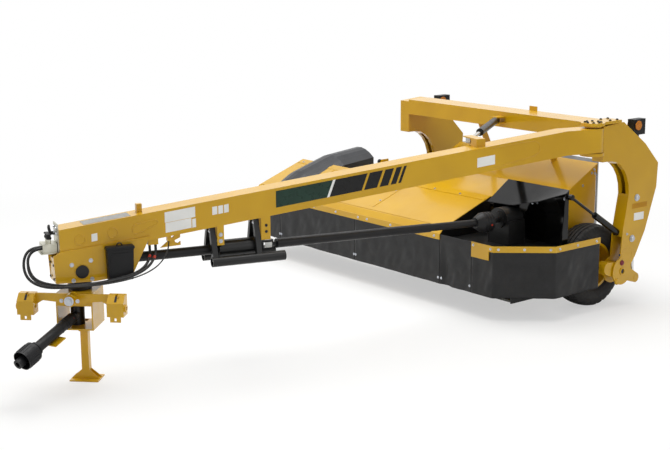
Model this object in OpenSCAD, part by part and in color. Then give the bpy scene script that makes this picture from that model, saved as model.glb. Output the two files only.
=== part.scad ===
// Trailed disc mower conditioner, side-pull, parked on its jack with the tongue swung for transport.
// X points to the machine's left, Y to its rear and Z up; the ground is at Z 0.

/* [Wheels] */
// Outside diameter of each tyre
tyre_d = 719; // [690:1:740]
// Width of each tyre
tyre_w = 223; // [205:1:235]
// Diameter of the rim where the tyre seats
rim_d = 381; // [360:1:400]
// Gap between each tyre and the conditioner's end plate
wheel_gap = 40; // [30:1:60]
// Radius of the stub shaft that carries each wheel
spindle_r = 30; // [24:1:34]

/* [Carrier] */
// Height of the top of the cross beam
beam_top = 1617; // [1580:1:1660]
// Height of the beam's box section
beam_h = 140; // [120:1:160]
// Depth of the beam's box section
beam_d = 264; // [230:1:290]
// Wall of the beam's box section
beam_wall = 8; // [6:1:12]
// Thickness of each curved leg across the machine
leg_thick = 116; // [108:1:130]
// Plate that each leg is folded from
leg_wall = 10; // [6:1:12]
// Depth of each leg from its front face to its rear edge
leg_depth = 742; // [700:1:780]
// Distance from the axle line forward to the front face of the legs
leg_front = 150; // [140:1:160]
// Gap between tyre and leg
tyre_gap = 24; // [18:1:40]

/* [Tongue] */
// Length of the tongue from its pivot pin to its tip
tongue_len = 4447; // [4300:1:4600]
// Height of the tongue's box section
tongue_h = 200; // [180:1:220]
// Width of the tongue's box section
tongue_w = 180; // [160:1:200]
// Wall of the tongue's box section
tongue_wall = 8; // [6:1:12]
// Drop from the beam's top to the tongue's top face at the pivot
tongue_drop = 20; // [16:1:28]
// Length of the level stretch at the pivot
tongue_level = 300; // [260:1:340]
// Height of the tongue's top face at its tip
tip_top = 1153.8; // [1140:0.1:1170]
// Angle of the parked tongue to the right of straight ahead, in degrees
tongue_yaw = 15.6; // [10:0.1:18]
// Radius of the tongue's pivot pin
pivot_pin_r = 38; // [30:1:45]

/* [Hitch] */
// Distance of the swivel axis from the tongue's pivot pin
swivel_s = 4300; // [4260:1:4340]
// Turn of the parked hitch relative to the tongue, in degrees
hitch_turn = 60; // [40:0.1:70]
// Distance between the two lower-link boxes
link_span = 645; // [630:1:700]
// Diameter of the bores for the lower-link pins
link_bore_d = 29; // [26:1:33]
// Width of the swivel frame
hitch_w = 265; // [250:1:290]
// Side of the square jack tube
jack_side = 55; // [45:1:60]

/* [Head] */
// Overall width of the cutting head
head_w = 3695; // [3600:1:3750]
// Distance from the axle line forward to the head's front edge
head_front = 1047; // [1030:1:1070]
// Height of the front rail's top edge
rail_top = 652; // [630:1:670]
// Height of the front rail
rail_h = 52; // [40:1:60]
// Height of the curtains' lower edge
curtain_low = 207; // [190:1:230]
// Thickness of a curtain
curtain_t = 8; // [5:1:10]
// Thickness of the deck's sheet steel
sheet_t = 6; // [4:1:8]
// Width of the drive bay at the head's left end
bay_w = 975; // [940:1:1000]

/* [Cutting] */
// Radius of the circle that the knife tips draw, as a share of the discs' spacing
knife_share = 0.6375; // [0.61:0.0025:0.64]
// Radius of the round body of a disc, as a share of the discs' spacing
disc_share = 0.3375; // [0.3:0.0025:0.345]
// Height of the discs' lower face
disc_low = 206; // [200:1:212]

/* [Conditioner] */
// Length of the rolls
roll_len = 1680; // [1620:1:1690]
// Outside radius of the rolls over their bars
roll_r = 116; // [100:1:118]
// Height of the bars on the rolls
roll_bar_h = 14; // [8:1:20]
// Number of bars round each roll
roll_bars = 8; // [6:1:10]

/* [Driveline] */
// Radius of the driveline's outer guard tube
guard_r = 36; // [32:1:40]
// Height of the driveline under the tongue
shaft_z = 888; // [870:1:900]
// Radius of the guard cone's mouth
cone_r = 82; // [76:1:90]

/* [Cylinders] */
// Radius of the lift cylinders' barrels
lift_r = 36; // [32:1:38]
// Radius of the lift cylinders' rods
lift_rod_r = 18; // [14:1:22]
// Radius of the swing cylinder's barrel
swing_r = 32; // [29:1:36]
// Radius of the swing cylinder's rod
swing_rod_r = 16; // [14:1:18]

/* [Hidden] */
$fn = 64;

// Colours of the finishes
yellow = "#d9a52b";
black = "#1c1c1c";
rubber = "#2b2b2c";
steel = "#9a9a96";
amber = "#e0801c";
pale = "#c9c9bd";

// Clearances: between moving pieces, in running fits, at seats, and the overrun of every cut
clear = 5;
fit = 0.05;
seat = 0.3;
overrun = 1;

// Shift of the machine so that its box stands centred on the origin
datum_x = 568.5;
datum_y = 2223.1;
module placed() {
  translate([datum_x, datum_y, 0]) children();
}

// Extrudes a Y-Z outline along X from x0
module across(x0, width) {
  translate([x0, 0, 0]) rotate([90, 0, 90]) linear_extrude(width) children();
}

// Extrudes an outline of tongue length and height across the tongue, between two sideways places
module along_tongue(y0, y1) {
  translate([0, y1, 0]) rotate([90, 0, 0]) linear_extrude(y1 - y0) children();
}

// Straight rod between two points
module rod(from, to, r) {
  reach = to - from;
  length = norm(reach);
  turn = atan2(reach.y, reach.x);
  lean = acos(reach.z / length);
  translate(from) rotate([0, lean, turn]) cylinder(h = length, r = r);
}

// Cylinder along X from x0
module bar_x(x0, y, z, r, width) {
  translate([x0, y, z]) rotate([0, 90, 0]) cylinder(h = width, r = r);
}

// Outline of two circles joined by their outer tangents
module tapered(p, rp, q, rq) {
  reach = q - p;
  length = norm(reach);
  turn = atan2(reach.y, reach.x);
  lean = acos((rp - rq) / length);
  translate(p) circle(rp);
  translate(q) circle(rq);
  polygon([for (m = [[p, rp, 1], [q, rq, 1], [q, rq, -1], [p, rp, -1]])
           m[0] + m[1] * [cos(turn + m[2] * lean), sin(turn + m[2] * lean)]]);
}

// Points on an elliptical arc
function arc(c, ry, rz, a0, a1, steps) =
  [for (i = [0:steps]) let (a = a0 + (a1 - a0) * i / steps) c + [ry * cos(a), rz * sin(a)]];

// Outline moved inward by a wall, for an outline that runs anticlockwise
function unit(v) = v / norm(v);
function corner(a, b, c, wall) =
  let (d1 = unit(b - a), d2 = unit(c - b), n1 = [-d1.y, d1.x], n2 = [-d2.y, d2.x])
  b + (n1 + n2) * wall / (1 + n1 * n2);
function inset(p, wall) =
  let (n = len(p)) [for (i = [0:n - 1]) corner(p[(i + n - 1) % n], p[i], p[(i + 1) % n], wall)];

// Sheet folded along an outline: its upper points and the same points lowered by the sheet
function folded(p, t) = concat(p, [for (i = [len(p) - 1:-1:0]) p[i] - [0, t]]);

// Tube swept along a route as one closed skin
hose_sides = 8;
sideways = [0, 1, 0];
function side_of(d) = unit(cross(d, sideways));
function ring(p, d, r) =
  let (u = side_of(d), v = cross(u, d))
  [for (i = [0:hose_sides - 1]) let (a = 360 * i / hose_sides) p + r * (cos(a) * u + sin(a) * v)];
function heading(p, i) = unit(p[min(i + 1, len(p) - 1)] - p[max(i - 1, 0)]);
module hose(route, r) {
  n = len(route);
  m = hose_sides;
  points = [for (i = [0:n - 1]) each ring(route[i], heading(route, i), r)];
  walls = [for (i = [0:n - 2], j = [0:m - 1])
           [i * m + j, i * m + (j + 1) % m, (i + 1) * m + (j + 1) % m, (i + 1) * m + j]];
  first_end = [for (j = [m - 1:-1:0]) j];
  last_end = [for (j = [0:m - 1]) (n - 1) * m + j];
  polyhedron(points, concat(walls, [first_end, last_end]), convexity = 6);
}

// Heights that hang from the beam
tongue_top = beam_top - tongue_drop;
tongue_low = tongue_top - tongue_h;
tongue_slope = atan((tongue_top - tip_top) / (tongue_len - tongue_level));
swing_drop = 50;
swing_z = tongue_top - swing_drop;

// Wheels
tyre_r = tyre_d / 2;
rim_r = rim_d / 2;
plate_t = 10;
roll_gap = 10;
hood_half = roll_len / 2 + roll_gap + plate_t;
wheel_x = hood_half + wheel_gap + tyre_w / 2;
rim_wall = 8;
rim_flange = 14;
rim_disc_t = 12;
rim_half_share = 0.338;
flange_half_share = 0.365;
hub_r = 62;
hub_len = 130;
hand_hole_r = 24;
hand_hole_ring = 125;
hand_holes = 5;
groove_w = 14;
groove_d = 10;
// Columns: share of the tyre's section height, share of the tyre's width
tyre_shares = [[0, 0.335], [0.1, 0.335], [0.14, 0.42], [0.4, 0.495], [0.6, 0.5], [0.8, 0.47],
               [0.93, 0.42], [1, 0.34]];
groove_shares = [-0.2, 0, 0.2];

module tyre(side) {
  section = tyre_r - rim_r;
  half = [for (s = tyre_shares) [rim_r + s[0] * section, s[1] * tyre_w]];
  outline = concat(half, [for (i = [len(half) - 1:-1:0]) [half[i].x, -half[i].y]]);
  color(rubber) placed() translate([side * wheel_x, 0, tyre_r]) rotate([0, 90, 0]) rotate_extrude()
    difference() {
      polygon(outline);
      for (g = groove_shares)
        translate([tyre_r - groove_d, g * tyre_w - groove_w / 2]) square([groove_d + overrun, groove_w]);
    }
}

module rim(side) {
  half_w = rim_half_share * tyre_w;
  flange_w = flange_half_share * tyre_w;
  barrel_r = rim_r - seat;
  color(yellow) placed() translate([side * wheel_x, 0, tyre_r]) rotate([0, 90, 0]) difference() {
    union() {
      rotate_extrude() {
        translate([barrel_r - rim_wall, -flange_w]) square([rim_wall, 2 * flange_w]);
        for (e = [-flange_w, half_w])
          translate([barrel_r - rim_wall, e]) square([rim_wall + rim_flange, flange_w - half_w]);
      }
      translate([0, 0, -rim_disc_t / 2]) cylinder(h = rim_disc_t, r = barrel_r - rim_wall / 2);
      translate([0, 0, -hub_len / 2]) cylinder(h = hub_len, r = hub_r);
    }
    translate([0, 0, -hub_len]) cylinder(h = 2 * hub_len, r = spindle_r + fit);
    for (i = [0:hand_holes - 1])
      rotate([0, 0, 360 * i / hand_holes]) translate([hand_hole_ring, 0, -rim_disc_t])
        cylinder(h = 2 * rim_disc_t, r = hand_hole_r);
  }
}

// Carrier legs; the table's columns are shares of the leg's depth and of the beam's top height
leg_in = wheel_x + tyre_w / 2 + tyre_gap;
leg_out = leg_in + leg_thick;
leg_mid = leg_in + leg_thick / 2;
knee_ry = 270;
knee_rz = 315;
knee_share = [0.121, 0.609];
leg_front_shares = [[0.404, 0.422], [0.377, 0.269]];
leg_foot_shares = [[0.56, 0.215], [0.647, 0.266]];
leg_rear_shares = [[0.806, 0.396], [0.985, 0.625], [1, 0.755], [0.751, 0.869], [0.346, 1]];
leg_top_share = [0, 0.989];
leg_chin_share = [0, 0.804];
arm_pivot_share = [0.419, 0.197];
barrel_pin_share = [0.627, 0.5875];
open_leg_share = 0.384;
lobe_r = 120;
knee_slot = 44;
knee_slot_a = 62;
function leg_point(s) = [s[0] * leg_depth - leg_front, s[1] * beam_top];
arm_pivot = leg_point(arm_pivot_share);
barrel_pin = leg_point(barrel_pin_share);
leg_outline = concat([leg_point(leg_top_share), leg_point(leg_chin_share)],
                     arc(leg_point(knee_share), knee_ry, knee_rz, 90, 0, 6),
                     [for (s = leg_front_shares) leg_point(s)], [arm_pivot],
                     [for (s = leg_foot_shares) leg_point(s)],
                     [for (s = leg_rear_shares) leg_point(s)]);
arm_pin_r = 32;
barrel_pin_r = 20;

module leg() {
  open_z = open_leg_share * beam_top;
  knee = leg_point(knee_share);
  difference() {
    across(leg_in, leg_thick) {
      polygon(leg_outline);
      translate(arm_pivot) circle(lobe_r);
    }
    across(leg_in + leg_wall, leg_thick - 2 * leg_wall) polygon(inset(leg_outline, leg_wall));
    translate([leg_in + leg_wall, -leg_depth, -overrun])
      cube([leg_thick - 2 * leg_wall, 3 * leg_depth, open_z + overrun]);
    across(leg_mid - knee_slot / 2, knee_slot)
      polygon(concat(arc(knee, knee_ry - leg_wall, knee_rz - leg_wall, knee_slot_a, 0, 6),
                     reversed(arc(knee, knee_ry + 2 * leg_wall, knee_rz + 2 * leg_wall,
                                  knee_slot_a, 0, 6))));
  }
  bar_x(leg_in, arm_pivot.x, arm_pivot.y, arm_pin_r, leg_thick);
  bar_x(leg_in, barrel_pin.x, barrel_pin.y, barrel_pin_r, leg_thick);
}

module legs() {
  color(yellow) placed() for (m = [0, 1]) mirror([m, 0, 0]) leg();
}

// Cross beam with the bracket that holds the swing cylinder's barrel
swing_beam_x = 100;
swing_beam_out = 78;
swing_pin_r = 16;
ear_t = 10;
ear_half = 40;
ear_gap = 42;
module carrier_beam() {
  color(yellow) placed() {
    difference() {
      translate([-leg_in, -leg_front, beam_top - beam_h]) cube([2 * leg_in, beam_d, beam_h]);
      translate([-leg_in - overrun, beam_wall - leg_front, beam_top - beam_h + beam_wall])
        cube([2 * (leg_in + overrun), beam_d - 2 * beam_wall, beam_h - 2 * beam_wall]);
    }
    for (e = [-1, 1])
      translate([swing_beam_x - ear_half, -leg_front - swing_beam_out - ear_half,
                 swing_z + e * (ear_gap + ear_t) / 2 - ear_t / 2])
        cube([2 * ear_half, swing_beam_out + ear_half + beam_wall / 2, ear_t]);
    translate([swing_beam_x, -leg_front - swing_beam_out, swing_z - ear_gap / 2 - ear_t])
      cylinder(h = ear_gap + 2 * ear_t, r = swing_pin_r);
  }
}

// Tongue clevis on the left leg and the beam
pivot_out = 80;
pivot_fwd = 100;
pivot_x = leg_in + pivot_out;
pivot_y = -leg_front - pivot_fwd;
clevis_t = 25;
clevis_r = 100;
clevis_lap = 30;
clevis_back = 60;
washer_r = 72;

module tongue_clevis() {
  color(yellow) placed() {
    translate([pivot_x, pivot_y, beam_top]) cylinder(h = clevis_t, r = clevis_r);
    translate([leg_in - clevis_lap, pivot_y, beam_top])
      cube([clevis_lap + pivot_out + clevis_r / 2, pivot_fwd + leg_front + clevis_back, clevis_t]);
    translate([pivot_x, pivot_y, tongue_top + clear])
      cylinder(h = beam_top - tongue_top - clear, r = washer_r);
    translate([pivot_x, pivot_y, tongue_low - clear - clevis_t]) cylinder(h = clevis_t, r = clevis_r);
    translate([leg_in, pivot_y, tongue_low - clear - clevis_t])
      cube([leg_thick, pivot_fwd, clevis_t]);
    translate([pivot_x, pivot_y, tongue_low - clear - clevis_t])
      cylinder(h = beam_top - tongue_low + clear + 2 * clevis_t, r = pivot_pin_r);
  }
}

// Lamps on the legs' rear slopes, each on a bent foot, and the sign's bracket on the beam
lamp_w = 70;
lamp_d = 150;
lamp_h = 134;
lamp_y = 347;
lamp_drop = 132;
lamp_low = beam_top - lamp_drop;
lens_r = 40;
lens_t = 12;
lens_out = 26;
lamp_foot_w = 60;
leg_slope_top = leg_point(leg_rear_shares[4]);
leg_slope_low = leg_point(leg_rear_shares[3]);
sign_x_share = 0.205;
sign_w = 90;
sign_h = 40;
sign_t = 8;
function on_slope(y) = leg_slope_top.y
  + (leg_slope_low.y - leg_slope_top.y) * (y - leg_slope_top.x) / (leg_slope_low.x - leg_slope_top.x);

function slope_at(z) = leg_slope_top.x
  + (leg_slope_low.x - leg_slope_top.x) * (z - leg_slope_top.y) / (leg_slope_low.y - leg_slope_top.y);

module lamp_housings() {
  foot_y = lamp_y - lamp_d / 4;
  near_y = lamp_y - lamp_d / 2;
  far_y = lamp_y + lamp_d / 2;
  color(black) placed() for (m = [0, 1]) mirror([m, 0, 0]) {
    across(leg_mid - lamp_w / 2, lamp_w)
      polygon([[near_y, on_slope(near_y) + seat], [slope_at(lamp_low - seat), lamp_low], [far_y, lamp_low],
               [far_y, lamp_low + lamp_h], [near_y, lamp_low + lamp_h]]);
    across(leg_mid - lamp_foot_w / 2, lamp_foot_w)
      polygon([[foot_y, on_slope(foot_y)], [lamp_y, on_slope(lamp_y)], [lamp_y, lamp_low],
               [foot_y, lamp_low]]);
  }
}

module lamp_lenses() {
  lens_z = lamp_low + lamp_h - lens_r - lens_t;
  color(amber) placed() for (m = [0, 1], e = [-1, 1]) mirror([m, 0, 0])
    translate([leg_mid + e * (lamp_w + lens_t) / 2 - lens_t / 2, lamp_y - lens_out, lens_z])
      rotate([0, 90, 0])
      cylinder(h = lens_t, r = lens_r);
}

module sign_bracket() {
  color(yellow) placed()
    translate([sign_x_share * leg_in - sign_w / 2, beam_d - leg_front - sign_t, beam_top])
      cube([sign_w, sign_t, sign_h]);
}

// Cutting head: places along X, and the deck's and hood's fold lines
head_inset = 32;
head_left = leg_out - head_inset;
head_right = head_left - head_w;
bay_right = head_left - bay_w;
fold_rise = 48;
fold_back = 47;
deck_back = 437;
deck_z = 905;
deck_flange = 260;
hood_fold = 100;
hood_mid_y = -hood_fold;
hood_mid_z = 1000;
hood_back_y = 273;
hood_under = 277;
hood_back_z = beam_top - beam_h - hood_under;
hood_lip = 90;
deck_line = [[-head_front, rail_top], [fold_back - head_front, rail_top + fold_rise], [-deck_back, deck_z]];
hood_line = [[seat - deck_back, deck_z], [hood_mid_y, hood_mid_z], [hood_back_y, hood_back_z]];
deck_edge = [deck_line[0] + [curtain_t + seat, 0], deck_line[1], deck_line[2]];

module deck() {
  color(yellow) placed() {
    across(head_right, bay_right - head_right) polygon(folded(deck_line, sheet_t));
    translate([head_right, -deck_back - sheet_t, deck_z - sheet_t - deck_flange])
      cube([-hood_half - head_right, sheet_t, deck_flange]);
    across(head_right, sheet_t)
      polygon(concat([for (p = deck_edge) p - [0, sheet_t]],
                     [[-deck_back, rail_top - rail_h],
                      [curtain_t + seat - head_front, rail_top - rail_h]]));
  }
}

module hood() {
  color(yellow) placed() {
    across(-hood_half, 2 * hood_half) polygon(folded(hood_line, sheet_t));
    translate([-hood_half, hood_back_y - sheet_t, hood_back_z - sheet_t - hood_lip])
      cube([2 * hood_half, sheet_t, hood_lip]);
    for (m = [0, 1]) mirror([m, 0, 0]) difference() {
      across(hood_half - plate_t, plate_t)
        polygon([[-cheek_front, cheek_low], [cheek_rear, cheek_low],
                 [cheek_rear, on_line(hood_line, cheek_rear) - sheet_t / 2],
                 [hood_mid_y, hood_mid_z - sheet_t / 2],
                 [-cheek_front, on_line(hood_line, -cheek_front) - sheet_t / 2]]);
      for (p = [upper_roll_at, lower_roll_at])
        bar_x(hood_half - plate_t - overrun, p.x, p.y, shaft_r + fit, plate_t + 2 * overrun);
    }
  }
}

// Path of the head's left end, seen from above: bracket, corner and side of the drive bay
gap_w = 384;
bracket_w = 253;
side_back = 110;
corner_back = 665;
rail_t = 8;
bracket_plate_h = 128;
bay_path = [[bay_right + gap_w + clear, -head_front], [bay_right + gap_w + bracket_w, -head_front],
            [head_left, -corner_back], [head_left, -side_back]];
// Open path moved to its left by a distance
function beside(p, d) =
  let (n = len(p))
  [for (i = [0:n - 1])
   i == 0 ? p[0] + d * leftward(p[0], p[1]) :
   i == n - 1 ? p[i] + d * leftward(p[i - 1], p[i]) : corner(p[i - 1], p[i], p[i + 1], d)];
function leftward(a, b) = let (v = unit(b - a)) [-v.y, v.x];
function reversed(p) = [for (i = [len(p) - 1:-1:0]) p[i]];
function strip(p, d0, d1) = concat(beside(p, d0), reversed(beside(p, d1)));

module front_rail() {
  color(yellow) placed() {
    translate([head_right, -head_front - rail_t, rail_top - rail_h])
      cube([bay_right - head_right, rail_t, rail_h]);
    translate([0, 0, rail_top - rail_h]) linear_extrude(rail_h) polygon(strip(bay_path, -rail_t, 0));
    translate([bay_path[0].x, -head_front - rail_t, rail_top - bracket_plate_h])
      cube([bracket_w - rail_h, rail_t, bracket_plate_h]);
  }
}

// Curtains hang from the rails; the seams' places are shares of the front curtain's width
curtain_top = rail_top - sheet_t - seat;
curtain_h = curtain_top - curtain_low;
seam = 4;
seam_shares = [0, 0.153, 0.58, 1];
module curtains() {
  front_w = bay_right - head_right;
  color(rubber) placed() {
    for (i = [0:len(seam_shares) - 2])
      translate([head_right + seam_shares[i] * front_w + seam / 2, -head_front, curtain_low])
        cube([(seam_shares[i + 1] - seam_shares[i]) * front_w - seam, curtain_t, curtain_h]);
    translate([bay_right + seam / 2, -head_front, curtain_low]) cube([gap_w - seam, curtain_t, curtain_h]);
    translate([0, 0, curtain_low]) linear_extrude(curtain_h) polygon(strip(bay_path, seat, curtain_t));
    translate([head_right + sheet_t + seat, -head_front + curtain_t + seam, curtain_low])
      cube([curtain_t, head_front - deck_back - curtain_t - 3 * seam, curtain_h]);
  }
}

// Drive platform: floor of the bay with a notch for the wheel, and the wall beside the deck
floor_z = 600;
bay_back = 430;
wheel_room = 18;
notch_x = wheel_x + tyre_w / 2 + wheel_room;
floor_path = beside(bay_path, curtain_t + seat);
module platform() {
  color(black) placed() {
    translate([0, 0, floor_z - sheet_t]) linear_extrude(sheet_t)
      polygon(concat([[bay_right, curtain_t + seat - head_front]], [for (i = [1:3]) floor_path[i]],
                     [[notch_x, -side_back], [notch_x, -bay_back], [bay_right, -bay_back]]));
    across(bay_right - sheet_t, sheet_t)
      polygon(concat([for (p = deck_edge) p - [0, sheet_t]],
                     [[-deck_back, floor_z - sheet_t],
                      [curtain_t + seat - head_front, floor_z - sheet_t]]));
  }
}

// Drive shield over the head gearbox: a sloped roof, two cheeks and a rear wall
shield_in = 36;
shield_left = leg_mid - shield_in;
shield_w = 690;
shield_right = shield_left - shield_w;
shield_rear = 450;
shield_under = 307;
shield_top = tongue_low - shield_under;
shield_front = 700;
shield_fall = 162;
cheek_foot_share = 0.3;
cheek_lip_share = 0.8;
cheek_top_share = 0.15;
strut_pin_r = 12;
strut_pin_len = 60;
strut_pin_in = 12;
strut_pin_drop = 56;
strut_top = [-shield_rear - strut_pin_in, shield_top - strut_pin_drop];
// Columns: share of the roof's width from its right edge, share of its depth from its rear edge
roof_shares = [[0, 0], [0, 1], [0.4, 0.96], [0.72, 0.63], [1, 0.15], [1, 0]];
module gearbox_shield() {
  roof_d = shield_front - shield_rear;
  rear = [-shield_rear, shield_top];
  front = [-shield_front, shield_top - shield_fall];
  lip = rear + cheek_lip_share * (front - rear);
  foot = [-shield_rear - cheek_foot_share * roof_d, floor_z];
  color(black) placed() {
    intersection() {
      across(shield_right, shield_w) polygon(folded([front, rear], sheet_t));
      translate([shield_right, -shield_rear, 0]) linear_extrude(shield_top)
        polygon([for (s = roof_shares) [s[0] * shield_w, -s[1] * roof_d]]);
    }
    across(shield_left - sheet_t, sheet_t)
      polygon([[-shield_rear, floor_z], rear - [0, sheet_t],
               rear + cheek_top_share * (front - rear) - [0, sheet_t], foot]);
    across(shield_right, sheet_t)
      polygon([[-shield_rear, floor_z], rear - [0, sheet_t], lip - [0, sheet_t], foot]);
    translate([shield_right, -shield_rear - sheet_t, floor_z])
      cube([shield_w, sheet_t, shield_top - sheet_t - floor_z]);
    bar_x(shield_left - sheet_t, strut_top.x, strut_top.y, strut_pin_r, strut_pin_len);
  }
}

// Head gearbox on the platform; its input shaft points forward
input_in = 436;
input_x = bay_right + input_in;
input_fwd = 910;
input_y = -input_fwd;
input_z = 808;
box_w = 240;
box_d = 195;
box_r = 105;
stub_r = 22;
stub_len = 125;
flange_r = 72;
flange_t = 16;
module head_gearbox() {
  front = input_y + stub_len;
  color(black) placed() {
    translate([input_x - box_w / 2, front, floor_z]) cube([box_w, box_d, input_z - floor_z]);
    translate([input_x, front + box_d, input_z]) rotate([90, 0, 0]) cylinder(h = box_d, r = box_r);
    translate([input_x, front, input_z]) rotate([90, 0, 0]) cylinder(h = flange_t, r = flange_r);
    translate([input_x, front, input_z]) rotate([90, 0, 0]) cylinder(h = stub_len, r = stub_r);
  }
}

// Cover over the right end of the head, blended through four sections
dome_w = 390;
dome_inset = 170;
dome_crown = 70;
dome_edge = 12;
dome_steps = 6;
dome_crest_share = 1.1;
dome_left = head_right + dome_inset + dome_w;
// Columns: distance behind the head's front edge as a share, height above the rail as a share
dome_len = 1100;
dome_h = 370;
dome_shares = [[0.03, 0.14], [0.28, 0.55], [0.65, 0.89], [1, 1]];
module dome_section(s) {
  y = s[0] * dome_len - head_front;
  top = rail_top + s[1] * dome_h;
  foot = rail_top + min(s[1] * dome_h - dome_crown, dome_crown);
  translate([dome_left - dome_w, y, 0]) rotate([90, 0, 0]) linear_extrude(dome_edge)
    polygon(concat([[0, foot], [dome_w, foot]],
                   [for (i = [0:dome_steps]) let (a = i / dome_steps)
                    [dome_w * (1 - a), top - dome_crown * pow(2 * a - dome_crest_share, 2)]]));
}
module end_dome() {
  color(rubber) placed() difference() {
    hull() for (s = dome_shares) dome_section(s);
    across(dome_left - dome_w - overrun, dome_w + 2 * overrun)
      polygon(concat([for (p = deck_line) p + [0, seat]],
                     [[seat - deck_back, deck_z + seat], [seat - deck_back, 0], [-head_front, 0]]));
  }
}

// Cutter bar with a boss under each disc, and the plates at its ends
disc_count = 8;
disc_fwd = 690;
disc_y = -disc_fwd;
disc_start = 320;
disc_first = head_right + disc_start;
bar_left_in = 311;
bar_clear = 9;
disc_pitch = (head_w - disc_start - bar_left_in - bar_clear) / (disc_count - 1 + knife_share);
knife_r = knife_share * disc_pitch;
disc_r = disc_share * disc_pitch;
boss_r = 45;
bar_front = 860;
bar_rear = 500;
bar_low = 135;
bar_rise = 30;
bar_h = 62;
bar_left = disc_first + (disc_count - 1) * disc_pitch + knife_r + bar_clear;
bar_right = disc_first - knife_r - bar_clear;
module cutter_bar() {
  color(steel) placed() {
    across(bar_right, bar_left - bar_right)
      polygon([[-bar_front, bar_low + bar_rise], [bar_rise - bar_front, bar_low], [-bar_rear, bar_low],
               [-bar_rear, bar_low + bar_h], [2 * bar_rise - bar_front, bar_low + bar_h]]);
    for (i = [0:disc_count - 1])
      translate([disc_first + i * disc_pitch, disc_y, bar_low])
        cylinder(h = disc_low - seat - bar_low, r = boss_r);
  }
}

// Height of a folded line at a place along Y
function on_line(p, y) =
  let (i = y < p[1].x ? 0 : 1) p[i].y + (p[i + 1].y - p[i].y) * (y - p[i].x) / (p[i + 1].x - p[i].x);
// Cheeks that close the ends of the hood
cheek_front = 425;
cheek_low = 235;
cheek_rear = 255;
// Roll axles, as places in Y and Z
shaft_r = 30;
upper_roll_at = [-140, 645];
lower_roll_at = [-170, 392];
// Plates at the two ends of the cutter bar
module end_plates() {
  color(black) placed() {
    across(bar_left, plate_t)
      polygon([[-bar_front, bar_low], [-bar_rear, bar_low], [-bar_rear, floor_z - sheet_t],
               [-bar_front, floor_z - sheet_t]]);
    across(bar_right - plate_t, plate_t)
      polygon([[-bar_front, bar_low], [-bar_rear, bar_low],
               [-bar_rear, on_line(deck_line, -bar_rear) - sheet_t],
               [-bar_front, on_line(deck_line, -bar_front) - sheet_t]]);
  }
}

// Shields that gather the swath behind the rolls
swath_in = 225;
swath_back = 570;
swath_low = 420;
swath_cover = 150;
module swath_shields() {
  far_y = swath_back;
  near_y = hood_back_y;
  outer = hood_half - plate_t;
  cover_in = swath_in * swath_cover / (far_y - near_y);
  color(black) placed() {
    for (m = [0, 1]) mirror([m, 0, 0]) translate([0, 0, swath_low])
      linear_extrude(hood_back_z - sheet_t - swath_low)
        polygon(strip([[outer, near_y + sheet_t], [outer - swath_in, far_y]], 0, sheet_t));
    translate([0, 0, hood_back_z - sheet_t]) linear_extrude(sheet_t)
      polygon([[-outer, near_y], [outer, near_y], [outer - cover_in, near_y + swath_cover],
               [cover_in - outer, near_y + swath_cover]]);
  }
}

// Struts that steady the head, one at each leg
strut_r = 28;
strut_rod_r = 12;
strut_body_share = 0.5;
strut_low_share = [0.3908, 0.4051];
strut_low = leg_point(strut_low_share);
strut_lug = 40;
strut_eye_w = 30;
bracket_h = 60;
module strut() {
  top = [leg_mid, strut_top.x, strut_top.y];
  low = [leg_mid, strut_low.x, strut_low.y];
  rod(top, low, strut_rod_r);
  rod(top + strut_body_share * (low - top), low, strut_r);
  bar_x(leg_mid - strut_eye_w / 2, strut_low.x - strut_lug / 4, strut_low.y, strut_r, strut_eye_w);
}
module suspension_struts() {
  color(black) placed() for (m = [0, 1]) mirror([m, 0, 0]) difference() {
    union() {
      strut();
      bar_x(leg_mid - strut_eye_w / 2, strut_top.x, strut_top.y, 2 * strut_rod_r, strut_eye_w);
    }
    bar_x(leg_mid - strut_eye_w, strut_top.x, strut_top.y, strut_pin_r + seat, 2 * strut_eye_w);
    across(leg_in, leg_thick) polygon(leg_outline);
  }
}

// Links that hang the head from the beam, and the right strut's bracket on the deck
link_x = 400;
link_y = 222;
link_top = 74;
link_w = 60;
link_t = 14;
hood_rear_line = [hood_line[1], hood_line[2], hood_line[2]];
module head_links() {
  bracket_x = sheet_t - shield_left;
  color(yellow) placed() {
    for (e = [-1, 1]) across(e * link_x - link_t / 2, link_t)
      polygon([[link_y - link_w / 2, on_line(hood_rear_line, link_y - link_w / 2)],
               [link_y + link_w / 2, on_line(hood_rear_line, link_y + link_w / 2)],
               [link_top + link_w / 2, beam_top - beam_h], [link_top - link_w / 2, beam_top - beam_h]]);
    across(bracket_x, plate_t)
      polygon([[-deck_back, deck_z - deck_flange], [-deck_back, deck_z],
               [strut_top.x - bracket_h / 2, strut_top.y + bracket_h / 2],
               [strut_top.x + bracket_h, strut_top.y + bracket_h / 2],
               [bracket_h - deck_back, deck_z - deck_flange]]);
    mirror([1, 0, 0]) bar_x(shield_left - sheet_t, strut_top.x, strut_top.y, strut_pin_r, strut_pin_len);
  }
}

// Tongue frame: X runs forward along the tongue from its pivot, Y to the tongue's left side
tongue_dir = [-sin(tongue_yaw), -cos(tongue_yaw)];
tongue_left = [cos(tongue_yaw), -sin(tongue_yaw)];
function tongue_place(s, y) = [pivot_x, pivot_y] + s * tongue_dir + y * tongue_left;
function tongue_fall(s) = s < tongue_level ? 0 : (s - tongue_level) * tan(tongue_slope);
function tongue_roof(s) = tongue_top - tongue_fall(s);
function tongue_floor(s) = tongue_low - tongue_fall(s);
module on_tongue() {
  placed() translate([pivot_x, pivot_y, 0]) rotate([0, 0, -90 - tongue_yaw]) children();
}
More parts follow.
